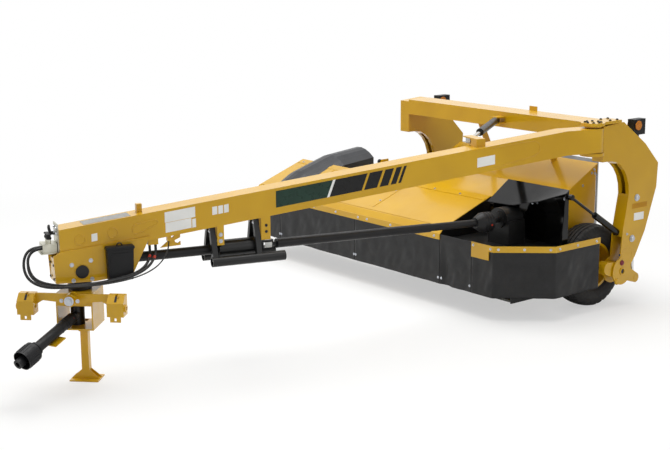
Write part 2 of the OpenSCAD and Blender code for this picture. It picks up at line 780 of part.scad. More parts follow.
// Side outline of the tongue between two places, thinned by a wall
function tongue_outline(s0, s1, wall) =
  concat([for (s = [s0, tongue_level, s1]) [s, tongue_roof(s) - wall]],
         [for (s = [s1, tongue_level, s0]) [s, tongue_floor(s) + wall]]);
tongue_boss_r = tongue_w / 2;
post_s = 3834;
post_side = 40;
post_h = 60;
swing_s = 1080;
swing_out = 133;
swing_y = -swing_out;
ear_back = 90;

// Blocks under the tongue where the hoses and the cable end
// Columns: start along the tongue, length, sideways start, width, height of the lower face
manifold_s = 3738;
manifold_len = 74;
manifold_y = 5;
manifold_w = 75;
manifold_z = 985;
gland_s = 3640;
gland_len = 30;
gland_y = 45;
gland_w = 30;
gland_z = 1000;
under_blocks = [[manifold_s, manifold_len, manifold_y, manifold_w, manifold_z],
                [gland_s, gland_len, gland_y, gland_w, gland_z]];

module tongue_tube() {
  color(yellow) on_tongue() {
    difference() {
      union() {
        along_tongue(-tongue_w / 2, tongue_w / 2) polygon(tongue_outline(0, tongue_len, 0));
        translate([0, 0, tongue_low]) cylinder(h = tongue_h, r = tongue_boss_r);
      }
      along_tongue(tongue_wall - tongue_w / 2, tongue_w / 2 - tongue_wall)
        polygon(tongue_outline(tongue_boss_r, tongue_len - tongue_wall, tongue_wall));
      translate([0, 0, tongue_low - overrun]) cylinder(h = tongue_h + 2 * overrun, r = pivot_pin_r + fit);
    }
    along_tongue(-post_side / 2, post_side / 2)
      polygon([[post_s, tongue_roof(post_s) - tongue_wall / 2],
               [post_s + post_side, tongue_roof(post_s + post_side) - tongue_wall / 2],
               [post_s + post_side, tongue_roof(post_s) + post_h], [post_s, tongue_roof(post_s) + post_h]]);
    for (e = [-1, 1])
      translate([swing_s - ear_half, swing_y - ear_half, swing_z + e * (ear_gap + ear_t) / 2 - ear_t / 2])
        cube([2 * ear_half, ear_half + ear_back + tongue_w / 2, ear_t]);
    along_tongue(swing_y + ear_back, swing_y + ear_back + tongue_w / 2)
      polygon([[swing_s - ear_half, tongue_roof(swing_s - ear_half) - tongue_wall / 2],
               [swing_s + ear_half, tongue_roof(swing_s + ear_half) - tongue_wall / 2],
               [swing_s + ear_half, swing_z + ear_gap / 2], [swing_s - ear_half, swing_z + ear_gap / 2]]);
    for (b = under_blocks) along_tongue(b[2], b[2] + b[3])
      polygon([[b[0], b[4]], [b[0] + b[1], b[4]],
               [b[0] + b[1], tongue_floor(b[0] + b[1]) + tongue_wall / 2],
               [b[0], tongue_floor(b[0]) + tongue_wall / 2]]);
    for (h = hangers, e = [-1, 1])
      along_tongue(min(e * tongue_w / 2, e * (tongue_w / 2 - hanger_t)),
                   max(e * tongue_w / 2, e * (tongue_w / 2 - hanger_t)))
        polygon([[h[0] - h[1] / 2, h[2]], [h[0] + h[1] / 2, h[2]],
                 [h[0] + h[1] / 2, tongue_floor(h[0] + h[1] / 2) + tongue_wall / 2],
                 [h[0] - h[1] / 2, tongue_floor(h[0] - h[1] / 2) + tongue_wall / 2]]);
  }
}

// Side plates of the gearbox housing; columns are shares of its length and height
housing_s = 3802;
housing_len = 696;
housing_z = 766;
housing_h = 289;
housing_t = 10;
housing_shares = [[0.588, 0], [0.984, 0.028], [1, 0.706], [0.918, 0.81], [0, 1], [0.193, 0.08]];
cap_r = 47;
cap_z = 845;
module gearbox_housing() {
  color(yellow) on_tongue() {
    for (e = [-1, 1]) difference() {
      along_tongue(min(e * tongue_w / 2, e * (tongue_w / 2 + housing_t)),
                   max(e * tongue_w / 2, e * (tongue_w / 2 + housing_t)))
        polygon([for (p = housing_shares) [housing_s + p[0] * housing_len, housing_z + p[1] * housing_h]]);
      along_tongue(-tongue_w, tongue_w) translate([swivel_s, cap_z]) circle(cap_r);
    }
    translate([housing_s + housing_len * housing_shares[1][0] - housing_t, -tongue_w / 2,
      housing_z + housing_t])
      cube([housing_t, tongue_w, tongue_floor(tongue_len) - housing_z - 2 * housing_t]);
  }
}

// Upper half of the swivel gearbox, between the housing's plates
swivel_r = 84;
swivel_low = 705;
swivel_high = 955;
swivel_pin_r = 60;
swivel_pin_len = 100;
cap_proud = 8;
output_len = 120;
output_r = 58;
module swivel_gearbox() {
  color(black) on_tongue() difference() {
    union() {
      translate([swivel_s, 0, swivel_low]) cylinder(h = swivel_high - swivel_low, r = swivel_r);
      along_tongue(-tongue_w / 2 - housing_t - cap_proud, tongue_w / 2 + housing_t + cap_proud)
        translate([swivel_s, cap_z]) circle(cap_r - seat);
      translate([swivel_s - output_len, 0, shaft_z]) rotate([0, 90, 0])
        cylinder(h = output_len, r = output_r);
    }
    translate([swivel_s, 0, swivel_low - overrun])
      cylinder(h = swivel_pin_len + overrun + clear, r = swivel_pin_r + fit);
  }
}

// Front driveline with its guard and the fork of the rear joint
joint_s = 2860;
fork_len = 80;
fork_r = 32;
fork_t = 14;
fork_gap = 42;
fork_pin_r = 14;
shaft_core_r = 26;
guard_end_gap = 80;
fork_block = 24;
module driveline_front() {
  color(black) on_tongue() {
    translate([joint_s + fork_len, 0, shaft_z]) rotate([0, 90, 0])
      cylinder(h = swivel_s - output_len - joint_s - fork_len, r = shaft_core_r);
    translate([joint_s + fork_len, 0, shaft_z]) rotate([0, 90, 0])
      cylinder(h = swivel_s - output_len - guard_end_gap - joint_s - fork_len, r = guard_r);
    translate([joint_s + fork_len - fork_block, -fork_r, shaft_z - fork_gap / 2 - fork_t])
      cube([fork_block, 2 * fork_r, fork_gap + 2 * fork_t]);
    for (e = [-1, 1]) translate([joint_s, 0, shaft_z + e * (fork_gap + fork_t) / 2 - fork_t / 2]) {
      cylinder(h = fork_t, r = fork_r);
      translate([0, -fork_r, 0]) cube([fork_len, 2 * fork_r, fork_t]);
    }
    translate([joint_s, 0, shaft_z - fork_gap / 2]) cylinder(h = fork_gap, r = fork_pin_r);
  }
}

// Cradle under the tongue: legs, a sleeve round the driveline and two tubes beside it
// The hanger plates stand on the tongue; columns: place along it, length, height of the lower edge
hanger_front = 3270;
hanger_rear = 2918;
hanger_front_w = 52;
hanger_rear_w = 74;
hanger_front_z = 935;
hanger_rear_z = 945;
hangers = [[hanger_front, hanger_front_w, hanger_front_z], [hanger_rear, hanger_rear_w, hanger_rear_z]];
hanger_t = 10;
frame_t = 40;
leg_top_in = 16;
leg_top_out = 50;
leg_foot = 22;
sleeve_r = 66;
sleeve_gap = 4;
sleeve_rear = joint_s + fork_len + clear;
tube_y = 110;
tube_z = 818;
tube_r = 37;
tube_wall = 6;
tube_front = 3348;
tube_rear = 2778;
module driveline_cradle() {
  hang = tongue_w / 2 - hanger_t;
  color(black) on_tongue() {
    for (h = hangers) {
      leg_s = h[0] + h[1] / 2 + clear;
      leg_z = tongue_floor(leg_s + frame_t);
      for (e = [-1, 1]) translate([leg_s, 0, 0]) rotate([90, 0, 90]) linear_extrude(frame_t)
        polygon([[e * leg_top_in, leg_z], [e * leg_top_out, leg_z],
                 [e * (tube_y + leg_foot), tube_z], [e * (tube_y - leg_foot), tube_z]]);
      translate([h[0] - h[1] / 2, -hang, h[2]]) cube([h[1], 2 * hang, shaft_z + sleeve_r - h[2]]);
    }
    translate([sleeve_rear, 0, shaft_z]) rotate([0, 90, 0]) difference() {
      cylinder(h = hanger_front - sleeve_rear, r = sleeve_r);
      translate([0, 0, -overrun])
        cylinder(h = hanger_front - sleeve_rear + 2 * overrun, r = guard_r + sleeve_gap);
    }
    for (e = [-1, 1]) translate([tube_rear, e * tube_y, tube_z]) rotate([0, 90, 0]) difference() {
      cylinder(h = tube_front - tube_rear, r = tube_r);
      translate([0, 0, -overrun]) cylinder(h = tube_front - tube_rear + 2 * overrun,
        r = tube_r - tube_wall);
    }
  }
}

// Document box on the left side plate
docs_s = 3938;
docs_len = 194;
docs_z = 766;
docs_h = 248;
docs_t = 58;
docs_lid = 8;
docs_lip = 6;
module document_box() {
  color(black) on_tongue() {
    along_tongue(tongue_w / 2 + housing_t, tongue_w / 2 + housing_t + docs_t)
      translate([docs_s, docs_z]) square([docs_len, docs_h - 2 * docs_lip]);
    along_tongue(tongue_w / 2 + housing_t, tongue_w / 2 + housing_t + docs_t + docs_lid)
      translate([docs_s - docs_lip, docs_z + docs_h - 2 * docs_lip])
        square([docs_len + 2 * docs_lip, 2 * docs_lip]);
  }
}

// Valve block on its shelf at the tongue's tip
shelf_len = 128;
shelf_w = 140;
shelf_t = 8;
shelf_z = 985;
valve_in = 13;
valve_len = 100;
valve_w = 116;
valve_h = 62;
coupler_r = 13;
coupler_h = 46;
coupler_pitch = 36;
tip_plate_h = 205;
module valve_block() {
  color(pale) on_tongue() {
    translate([tongue_len, -shelf_w / 2, shelf_z]) cube([shelf_len, shelf_w, shelf_t]);
    translate([tongue_len, -shelf_w / 2, shelf_z]) cube([shelf_t, shelf_w, tip_plate_h]);
    translate([tongue_len + valve_in, -valve_w / 2, shelf_z + shelf_t]) cube([valve_len, valve_w, valve_h]);
    for (i = [-1, 0, 1])
      translate([tongue_len + valve_in + valve_len / 2, i * coupler_pitch, shelf_z + shelf_t + valve_h])
        cylinder(h = coupler_h, r = coupler_r);
  }
}

// Hoses and lamp cable: routes of tongue length, sideways place and height
hose_r = 10;
cable_r = 5;
pressure_route = [[4560, 30, 1022], [4590, 30, 1022], [4632, 36, 1011], [4661, 48, 980], [4672, 64, 945],
                  [4668, 84, 902], [4655, 110, 851], [4610, 140, 814], [4530, 164, 789], [4430, 178, 775],
                  [4320, 184, 772], [4200, 186, 775], [4080, 188, 788], [3970, 186, 808], [3890, 165, 834],
                  [3840, 130, 862], [3808, 90, 896], [3793, 50, 925], [3790, 34, 945], [3790, 27, 962],
                  [3790, 25, 975], [3790, 25, 985]];
return_route = [[4560, -20, 1022], [4600, -20, 1022], [4645, -12, 1010], [4677, 6, 977], [4691, 30, 940],
                [4698, 60, 896], [4682, 108, 836], [4630, 152, 797], [4545, 186, 775], [4430, 203, 771],
                [4320, 209, 771], [4200, 211, 775], [4080, 212, 786], [3970, 209, 804], [3880, 188, 832],
                [3818, 150, 862], [3776, 108, 902], [3759, 86, 925], [3755, 69, 945], [3755, 62, 962],
                [3755, 60, 975], [3755, 60, 985]];
cable_route = [[4560, 48, 1042], [4595, 48, 1042], [4640, 62, 1022], [4674, 92, 970], [4684, 128, 900],
               [4662, 168, 842], [4605, 202, 808], [4515, 226, 788], [4400, 238, 777], [4270, 242, 773],
               [4130, 240, 777], [3990, 234, 791], [3870, 214, 816], [3770, 176, 854], [3700, 126, 908],
               [3664, 84, 955], [3656, 70, 971], [3655, 62, 983], [3655, 60, 992], [3655, 60, 1000]];
module pressure_hose() {
  color(black) on_tongue() hose(pressure_route, hose_r);
}
module return_hose() {
  color(black) on_tongue() hose(return_route, hose_r);
}
module lamp_cable() {
  color(black) on_tongue() hose(cable_route, cable_r);
}

// Hitch frame: X runs forward from the swivel axis, Y to the hitch's left side
module on_hitch() {
  on_tongue() translate([swivel_s, 0, 0]) rotate([0, 0, hitch_turn]) children();
}
frame_back = 120;
frame_front = 150;
frame_z0 = 434;
frame_z1 = 700;
frame_wall = 10;
header_z = 610;
roll_pin_r = 30;
roll_pin_len = 112;
roll_z = 674;
jack_back = 80;
jack_off = 5;
jack_x = -jack_back;
jack_y = -jack_off;
sleeve_wall = 9;
sleeve_z = 368;
slide_gap = 0.5;
module hitch_frame() {
  half = hitch_w / 2;
  length = frame_front + frame_back;
  color(yellow) on_hitch() difference() {
    union() {
      difference() {
        translate([-frame_back, -half, frame_z0]) cube([length, hitch_w, frame_z1 - frame_z0]);
        translate([-frame_back - overrun, frame_wall - half, frame_z0 + frame_wall])
          cube([length + 2 * overrun, hitch_w - 2 * frame_wall, frame_z1 - frame_z0 - 2 * frame_wall]);
      }
      translate([frame_front - frame_wall, -half, header_z])
        cube([frame_wall, hitch_w, frame_z1 - header_z]);
      translate([frame_front - frame_wall, 0, roll_z]) rotate([0, 90, 0])
        cylinder(h = roll_pin_len + frame_wall, r = roll_pin_r);
      translate([0, 0, frame_z1 - frame_wall])
        cylinder(h = swivel_pin_len + frame_wall + clear, r = swivel_pin_r);
      translate([jack_x - jack_side / 2 - sleeve_wall, jack_y - jack_side / 2 - sleeve_wall, sleeve_z])
        cube([jack_side + 2 * sleeve_wall, jack_side + 2 * sleeve_wall, frame_z0 - sleeve_z + frame_wall]);
      shaft_rest();
    }
    translate([jack_x - jack_side / 2 - slide_gap, jack_y - jack_side / 2 - slide_gap, sleeve_z - overrun])
      cube([jack_side + 2 * slide_gap, jack_side + 2 * slide_gap, frame_z0 - sleeve_z + 2 * frame_wall]);
  }
}

// Lower half of the swivel gearbox inside the frame, and the tractor shaft in its guard
lower_r = 50;
lower_x = 12;
lower_off = 22;
lower_y = -lower_off;
pto_z = 520;
pto_stub_r = 28;
pto_stub_x = 95;
module pto_gearbox() {
  color(black) on_hitch() {
    translate([lower_x, lower_y, frame_z0 + frame_wall])
      cylinder(h = frame_z1 - frame_z0 - 2 * frame_wall, r = lower_r);
    translate([0, lower_y, pto_z]) rotate([0, 90, 0]) cylinder(h = pto_stub_x, r = pto_stub_r);
  }
}

pto_joint_len = 36;
pto_end = [600, -232, 345];
pto_guard_r = 38;
pto_cone_r = 72;
pto_cone_len = 120;
pto_cone_wall = 5;
pto_yoke_r = 34;
pto_yoke_len = 90;
pto_bore_r = 17.5;
pto_collar_r = 40;
pto_collar_len = 70;
pto_start = [pto_stub_x + pto_joint_len, lower_y, pto_z];
rest_share = 0.42;
rest_len = 110;
rest_w = 130;
rest_t = 8;
rest_bar_r = 14;
rest_bar_in = 26;
module along_pto(x) {
  reach = pto_end - pto_start;
  translate(pto_start) rotate([0, acos(reach.z / norm(reach)), atan2(reach.y, reach.x)])
    translate([0, 0, x]) children();
}
// Rest that holds the unhitched shaft: a plate under its guard on a bar from the frame's floor
module shaft_rest() {
  reach = pto_end - pto_start;
  length = norm(reach);
  down = pto_guard_r + clear;
  lean = acos(reach.z / length);
  turn = atan2(reach.y, reach.x);
  under = [cos(lean) * cos(turn), cos(lean) * sin(turn), -sin(lean)];
  along_pto(rest_share * length) translate([down, -rest_w / 2, -rest_len / 2])
    cube([rest_t, rest_w, rest_len]);
  rod([frame_front - rest_bar_in, -hitch_w / 2 + rest_bar_in, frame_z0 + frame_wall / 2],
      pto_start + rest_share * reach + (down + rest_t / 2) * under, rest_bar_r - clear);
}
module pto_shaft() {
  length = norm(pto_end - pto_start);
  color(black) on_hitch() {
    translate([pto_stub_x, lower_y, pto_z]) rotate([0, 90, 0]) cylinder(h = pto_joint_len, r = pto_stub_r);
    translate(pto_start) sphere(pto_stub_r + clear);
    along_pto(0) cylinder(h = pto_collar_len, r = pto_collar_r);
    along_pto(0) cylinder(h = length - pto_cone_len, r = pto_guard_r);
    along_pto(length - pto_cone_len) difference() {
      cylinder(h = pto_cone_len, r = pto_cone_r);
      translate([0, 0, pto_cone_wall]) cylinder(h = pto_cone_len, r = pto_cone_r - pto_cone_wall);
    }
    along_pto(length - pto_cone_len) difference() {
      cylinder(h = pto_cone_len + pto_yoke_len / 2, r = pto_yoke_r);
      translate([0, 0, pto_cone_len - pto_yoke_len / 2])
        cylinder(h = pto_yoke_len + overrun, r = pto_bore_r);
    }
  }
}

// Hitch bar that rolls on the frame's pin, with a box for each lower link
bar_x0 = 172;
bar_plate = 14;
bar_top = 710;
link_box_w = 120;
link_box_d = 100;
link_box_h = 145;
link_wall = 10;
roll_boss_r = 44;
roll_boss_len = 88;
link_pin_drop = 90;
link_pin_z = bar_top - link_pin_drop;
link_slope = 48;
slot_w = 16;
slot_len = 46;
link_boss_r = 27;
link_boss_len = 12;
link_pin_x = bar_x0 + bar_plate + clear + link_bore_d / 2;
tab_w = 76;
tab_h = 38;
// Columns: share of half the link span, share of the bar's height below its top
arch_shares = [[0.8, 0.55], [0.66, 0.36], [0.38, 0.42], [0.18, 0.55]];
// Side outline of a link box with its sloped upper front, thinned by a wall and open below
module link_profile(y0, y1, wall) {
  cut = link_slope - wall / 2;
  low = wall > 0 ? -overrun : 0;
  front = link_box_d - wall;
  top = link_box_h - wall;
  translate([0, y1, 0]) rotate([90, 0, 0]) linear_extrude(y1 - y0)
    polygon([[wall, low], [front, low], [front, top - cut], [front - cut, top], [wall, top]]);
}
module link_box(side) {
  x0 = bar_x0 - link_box_d / 4;
  low = bar_top - link_box_h;
  outer = side * link_box_w / 2;
  difference() {
    union() {
      translate([x0, -link_box_w / 2, low]) difference() {
        link_profile(0, link_box_w, 0);
        link_profile(link_wall, link_box_w - link_wall, link_wall);
        translate([link_box_d / 2 - slot_len / 2, link_box_w / 2 - slot_w / 2, link_box_h - 2 * link_wall])
          cube([slot_len, slot_w, 3 * link_wall]);
      }
      translate([link_pin_x, outer + (side > 0 ? link_boss_len : 0), link_pin_z]) rotate([90, 0, 0])
        cylinder(h = link_boss_len, r = link_boss_r);
      translate([x0 + link_box_d - link_wall, -tab_w / 2, low - tab_h]) cube([link_wall, tab_w, tab_h]);
    }
    translate([link_pin_x, link_box_w, link_pin_z]) rotate([90, 0, 0])
      cylinder(h = 2 * link_box_w, r = link_bore_d / 2);
    translate([x0 + link_box_d - 2 * link_wall, -slot_w / 2, low - tab_h + slot_w / 2])
      cube([3 * link_wall, slot_w, tab_h - slot_w]);
  }
}
module hitch_bar() {
  half = link_span / 2;
  edge = half - link_box_w / 2 + link_wall / 2;
  right = [for (p = arch_shares) [p[0] * half, bar_top - p[1] * link_box_h]];
  left = [for (p = reversed(arch_shares)) [-p[0] * half, bar_top - p[1] * link_box_h]];
  color(yellow) on_hitch() difference() {
    union() {
      translate([bar_x0, 0, 0]) rotate([90, 0, 90]) linear_extrude(bar_plate)
        polygon(concat([[-edge, bar_top - link_box_h], [-edge, bar_top], [edge, bar_top],
                        [edge, bar_top - link_box_h]],
                       right, left));
      translate([frame_front + clear, 0, roll_z]) rotate([0, 90, 0])
        cylinder(h = roll_boss_len, r = roll_boss_r);
      for (e = [-1, 1]) translate([0, e * half, 0]) link_box(e);
    }
    translate([frame_front, 0, roll_z]) rotate([0, 90, 0])
      cylinder(h = 2 * roll_boss_len, r = roll_pin_r + fit);
  }
}

// Jack leg in the frame's sleeve
foot_w = 214;
foot_d = 160;
foot_t = 10;
foot_h = 75;
jack_top = 432;
jack_wall = 5;
module jack_leg() {
  color(yellow) on_hitch() translate([jack_x, jack_y, 0]) {
    translate([-foot_d / 2, -foot_w / 2, 0]) cube([foot_d, foot_w, foot_t]);
    for (e = [-1, 1])
      translate([e * (jack_side - jack_wall) / 2 - jack_wall / 2, 0, 0]) rotate([90, 0, 90])
        linear_extrude(jack_wall)
        polygon([[-foot_w / 2, foot_t], [foot_w / 2, foot_t], [jack_side / 2, foot_h],
                 [-jack_side / 2, foot_h]]);
    difference() {
      translate([-jack_side / 2, -jack_side / 2, foot_t]) cube([jack_side, jack_side, jack_top - foot_t]);
      translate([jack_wall - jack_side / 2, jack_wall - jack_side / 2, foot_t])
        cube([jack_side - 2 * jack_wall, jack_side - 2 * jack_wall, jack_top]);
    }
  }
}

// Wheel arms between the plates of the legs
arm_gap = 6;
arm_cheek = 20;
arm_pivot_r = 72;
arm_spindle_r = 56;
arm_fork_r = 42;
arm_core_r = 56;
rod_pin = [370, 225];
pin_head_r = 24;
pin_head_t = 3;
arm_in = leg_in + leg_wall + arm_gap;
arm_w = leg_thick - 2 * leg_wall - 2 * arm_gap;
axle = [0, tyre_r];
module arm() {
  difference() {
    union() {
      for (x = [arm_in, arm_in + arm_w - arm_cheek]) across(x, arm_cheek) {
        tapered(arm_pivot, arm_pivot_r, axle, arm_spindle_r);
        tapered(arm_pivot, arm_pivot_r, rod_pin, arm_fork_r);
      }
      across(arm_in, arm_w) tapered(arm_pivot, arm_core_r, axle, arm_spindle_r - overrun);
      for (x = [arm_in - pin_head_t, arm_in + arm_w])
        bar_x(x, rod_pin.x, rod_pin.y, pin_head_r, pin_head_t);
      bar_x(wheel_x - hub_len / 2, axle.x, axle.y, spindle_r, arm_in - wheel_x + hub_len / 2);
    }
    bar_x(arm_in - overrun, arm_pivot.x, arm_pivot.y, arm_pin_r + fit, arm_w + 2 * overrun);
  }
}
module left_arm() {
  color(yellow) placed() arm();
}
module right_arm() {
  color(yellow) placed() mirror([1, 0, 0]) arm();
}

// Lift cylinders inside the legs
lift_reach = rod_pin - barrel_pin;
lift_len = norm(lift_reach);
lift_tilt = atan2(lift_reach.x, -lift_reach.y);
lift_barrel_len = 440;
lift_cap = 18;
lift_wall = 7;
lift_eye_w = 40;
lift_eye_r = 38;
rod_eye_r = 34;
rod_start = 280;
eye_hole_r = 16;
module at_lift() {
  translate([leg_mid, barrel_pin.x, barrel_pin.y]) rotate([lift_tilt, 0, 0]) children();
}
module lift_barrel() {
  at_lift() difference() {
    union() {
      translate([-lift_eye_w / 2, 0, 0]) rotate([0, 90, 0]) cylinder(h = lift_eye_w, r = lift_eye_r);
      translate([0, 0, -lift_barrel_len]) cylinder(h = lift_barrel_len, r = lift_r);
    }
    translate([-lift_r, 0, 0]) rotate([0, 90, 0]) cylinder(h = 2 * lift_r, r = barrel_pin_r + fit);
    translate([0, 0, lift_cap - lift_barrel_len])
      cylinder(h = lift_barrel_len - 2 * lift_cap - lift_eye_r, r = lift_r - lift_wall);
    translate([0, 0, -lift_barrel_len - overrun]) cylinder(h = 2 * lift_cap, r = lift_rod_r + fit);
  }
}
module lift_rod() {
  at_lift() difference() {
    union() {
      translate([0, 0, -lift_len]) cylinder(h = lift_len - rod_start, r = lift_rod_r);
      translate([-lift_eye_w / 2 + overrun, 0, -lift_len]) rotate([0, 90, 0])
        cylinder(h = lift_eye_w - 2 * overrun, r = rod_eye_r);
    }
    translate([-lift_eye_w, 0, -lift_len]) rotate([0, 90, 0]) cylinder(h = 2 * lift_eye_w, r = eye_hole_r);
  }
}
module left_lift_barrel() {
  color(black) placed() lift_barrel();
}
module left_lift_rod() {
  color(steel) placed() lift_rod();
}
module right_lift_barrel() {
  color(black) placed() mirror([1, 0, 0]) lift_barrel();
}
module right_lift_rod() {
  color(steel) placed() mirror([1, 0, 0]) lift_rod();
}

// Swing cylinder between a bracket on the beam and the ears on the tongue
swing_pin = [swing_beam_x, -leg_front - swing_beam_out];
swing_eye = tongue_place(swing_s, swing_y);
swing_reach = swing_eye - swing_pin;
swing_len = norm(swing_reach);
swing_turn = atan2(swing_reach.y, swing_reach.x);
swing_barrel_len = 800;
swing_cap = 22;
swing_wall = 6;
swing_eye_r = 34;
swing_eye_t = 36;
swing_rod_start = 150;
swing_eye_hole = 15;
swing_flat = ear_half * sqrt(2) + clear;
module at_swing() {
  placed() translate([swing_pin.x, swing_pin.y, swing_z]) rotate([0, 0, swing_turn]) children();
}
module swing_barrel() {
  color(black) at_swing() difference() {
    union() {
      translate([0, 0, -swing_eye_t / 2]) cylinder(h = swing_eye_t, r = swing_eye_r);
      rotate([0, 90, 0]) cylinder(h = swing_barrel_len, r = swing_r);
    }
    translate([0, 0, -swing_r - overrun]) cylinder(h = 2 * (swing_r + overrun), r = swing_pin_r + fit);
    translate([swing_flat + swing_cap, 0, 0]) rotate([0, 90, 0])
      cylinder(h = swing_barrel_len - 2 * swing_cap - swing_flat, r = swing_r - swing_wall);
    translate([swing_barrel_len - 2 * swing_cap, 0, 0]) rotate([0, 90, 0])
      cylinder(h = 3 * swing_cap, r = swing_rod_r + fit);
    for (e = [-1, 1]) translate([-swing_r, -swing_r - overrun, e * (swing_r + swing_eye_t / 2) - swing_r])
      cube([swing_r + swing_flat, 2 * (swing_r + overrun), 2 * swing_r]);
  }
}
module swing_rod() {
  color(steel) at_swing() difference() {
    union() {
      translate([swing_rod_start, 0, 0]) rotate([0, 90, 0])
        cylinder(h = swing_len - swing_rod_start, r = swing_rod_r);
      translate([swing_len, 0, -swing_eye_t / 2]) cylinder(h = swing_eye_t, r = swing_eye_r);
    }
    translate([swing_len, 0, -swing_eye_t]) cylinder(h = 2 * swing_eye_t, r = swing_eye_hole);
  }
}

// Telescoping driveline from the tongue's joint to the head gearbox's input
joint_at = concat(tongue_place(joint_s, 0), [shaft_z]);
input_at = [input_x, input_y, input_z];
line_reach = input_at - joint_at;
line_len = norm(line_reach);
line_turn = atan2(line_reach.y, line_reach.x);
line_drop = -asin(line_reach.z / line_len);
outer_end = 1500;
outer_wall = 5;
inner_start = 900;
inner_r = guard_r - outer_wall - fit;
neck_len = 60;
cone_len = 95;
cone_depth = 75;
cone_lap = 15;
cone_neck_r = 46;
cone_wall = 5;
eye_r = 30;
eye_t = 40;
module along_line() {
  placed() translate(joint_at) rotate([0, 0, line_turn]) rotate([0, line_drop, 0]) children();
}
module driveline_outer() {
  color(black) along_line() {
    difference() {
      rotate([0, -line_drop, 0]) translate([0, 0, -eye_t / 2]) cylinder(h = eye_t, r = eye_r);
      rotate([0, -line_drop, 0]) translate([0, 0, -eye_t]) cylinder(h = 2 * eye_t, r = fork_pin_r + fit);
    }
    translate([eye_r - outer_wall, 0, 0]) rotate([0, 90, 0])
      cylinder(h = neck_len, r = eye_t / 2 - outer_wall);
    difference() {
      translate([neck_len, 0, 0]) rotate([0, 90, 0]) cylinder(h = outer_end - neck_len, r = guard_r);
      translate([2 * neck_len, 0, 0]) rotate([0, 90, 0]) cylinder(h = outer_end, r = guard_r - outer_wall);
    }
  }
}
module driveline_inner() {
  cone_start = line_len + cone_lap - cone_len - neck_len;
  color(black) along_line() {
    translate([inner_start, 0, 0]) rotate([0, 90, 0]) cylinder(h = cone_start - inner_start, r = inner_r);
    translate([cone_start, 0, 0]) rotate([0, 90, 0]) difference() {
      union() {
        cylinder(h = neck_len, r1 = cone_neck_r, r2 = cone_r);
        translate([0, 0, neck_len]) cylinder(h = cone_len, r = cone_r);
      }
      translate([0, 0, neck_len + cone_len - cone_depth])
        cylinder(h = cone_depth + overrun, r = cone_r - cone_wall);
    }
  }
}

// Cutting discs, each with two knives; neighbours stand a quarter turn apart
disc_t = 14;
crown_r = 70;
crown_h = 26;
knife_w = 46;
knife_t = 6;
knife_root = 90;
module disc(i) {
  color(steel) placed() translate([disc_first + i * disc_pitch, disc_y, disc_low])
    rotate([0, 0, 90 * (i % 2)]) {
    translate([0, 0, knife_t]) cylinder(h = disc_t, r = disc_r);
    translate([0, 0, knife_t + disc_t]) cylinder(h = crown_h, r1 = crown_r, r2 = crown_r / 2);
    cylinder(h = knife_t, r = boss_r);
    intersection() {
      cylinder(h = knife_t, r = knife_r);
      for (e = [-1, 1]) translate([e > 0 ? knife_root : -knife_r, -knife_w / 2, 0])
        cube([knife_r - knife_root, knife_w, knife_t]);
    }
  }
}

// Conditioner rolls with raised bars, carried in the end plates
bar_share = 0.5;
module roll(at, phase) {
  core = roll_r - roll_bar_h;
  color(rubber) placed() translate([-roll_len / 2, at.x, at.y]) rotate([0, 90, 0]) {
    linear_extrude(roll_len) union() {
      circle(core);
      for (i = [0:roll_bars - 1]) rotate(360 * i / roll_bars + phase)
        intersection() {
          circle(roll_r);
          translate([0, -bar_share * core * PI / roll_bars])
            square([roll_r, 2 * bar_share * core * PI / roll_bars]);
        }
    }
    translate([0, 0, -(hood_half - roll_len / 2)]) cylinder(h = 2 * hood_half, r = shaft_r);
  }
}
module upper_roll() {
  roll(upper_roll_at, 0);
}
module lower_roll() {
  roll(lower_roll_at, 180 / roll_bars);
}

carrier_beam();
legs();
tongue_clevis();
lamp_housings();
lamp_lenses();
sign_bracket();
deck();
hood();
front_rail();
curtains();
platform();
gearbox_shield();
end_dome();
head_gearbox();
cutter_bar();
end_plates();
swath_shields();
suspension_struts();
head_links();
tongue_tube();
gearbox_housing();
swivel_gearbox();
driveline_front();
driveline_cradle();
document_box();
valve_block();
pressure_hose();
return_hose();
lamp_cable();
hitch_frame();
pto_gearbox();
pto_shaft();
hitch_bar();
jack_leg();
left_arm();
right_arm();
tyre(1);  // left_tyre
rim(1);  // left_rim
tyre(-1);  // right_tyre
rim(-1);  // right_rim
left_lift_barrel();
left_lift_rod();
right_lift_barrel();
right_lift_rod();
swing_barrel();
swing_rod();
driveline_outer();
driveline_inner();
disc(0);  // disc_1
disc(1);  // disc_2
disc(2);  // disc_3
disc(3);  // disc_4
disc(4);  // disc_5
disc(5);  // disc_6
disc(6);  // disc_7
disc(7);  // disc_8
upper_roll();
lower_roll();
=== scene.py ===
import math

import bmesh
import bpy
from mathutils import Matrix, Vector, noise


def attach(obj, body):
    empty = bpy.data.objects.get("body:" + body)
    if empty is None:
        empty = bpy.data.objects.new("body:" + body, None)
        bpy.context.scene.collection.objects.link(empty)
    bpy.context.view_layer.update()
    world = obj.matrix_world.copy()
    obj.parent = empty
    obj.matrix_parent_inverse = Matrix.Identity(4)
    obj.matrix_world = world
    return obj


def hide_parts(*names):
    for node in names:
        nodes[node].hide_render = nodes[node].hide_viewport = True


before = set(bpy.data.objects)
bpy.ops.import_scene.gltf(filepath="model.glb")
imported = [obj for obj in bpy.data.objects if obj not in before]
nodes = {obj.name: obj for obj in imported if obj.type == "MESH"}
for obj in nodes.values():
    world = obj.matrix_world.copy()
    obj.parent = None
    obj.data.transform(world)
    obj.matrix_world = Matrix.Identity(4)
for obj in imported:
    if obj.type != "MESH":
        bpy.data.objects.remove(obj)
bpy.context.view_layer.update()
print("stage: frame loaded")

# Millimetres in metres, and the shift that centres the machine on the origin
mm = 0.001
datum = {"x": 568.5, "y": 2223.1}
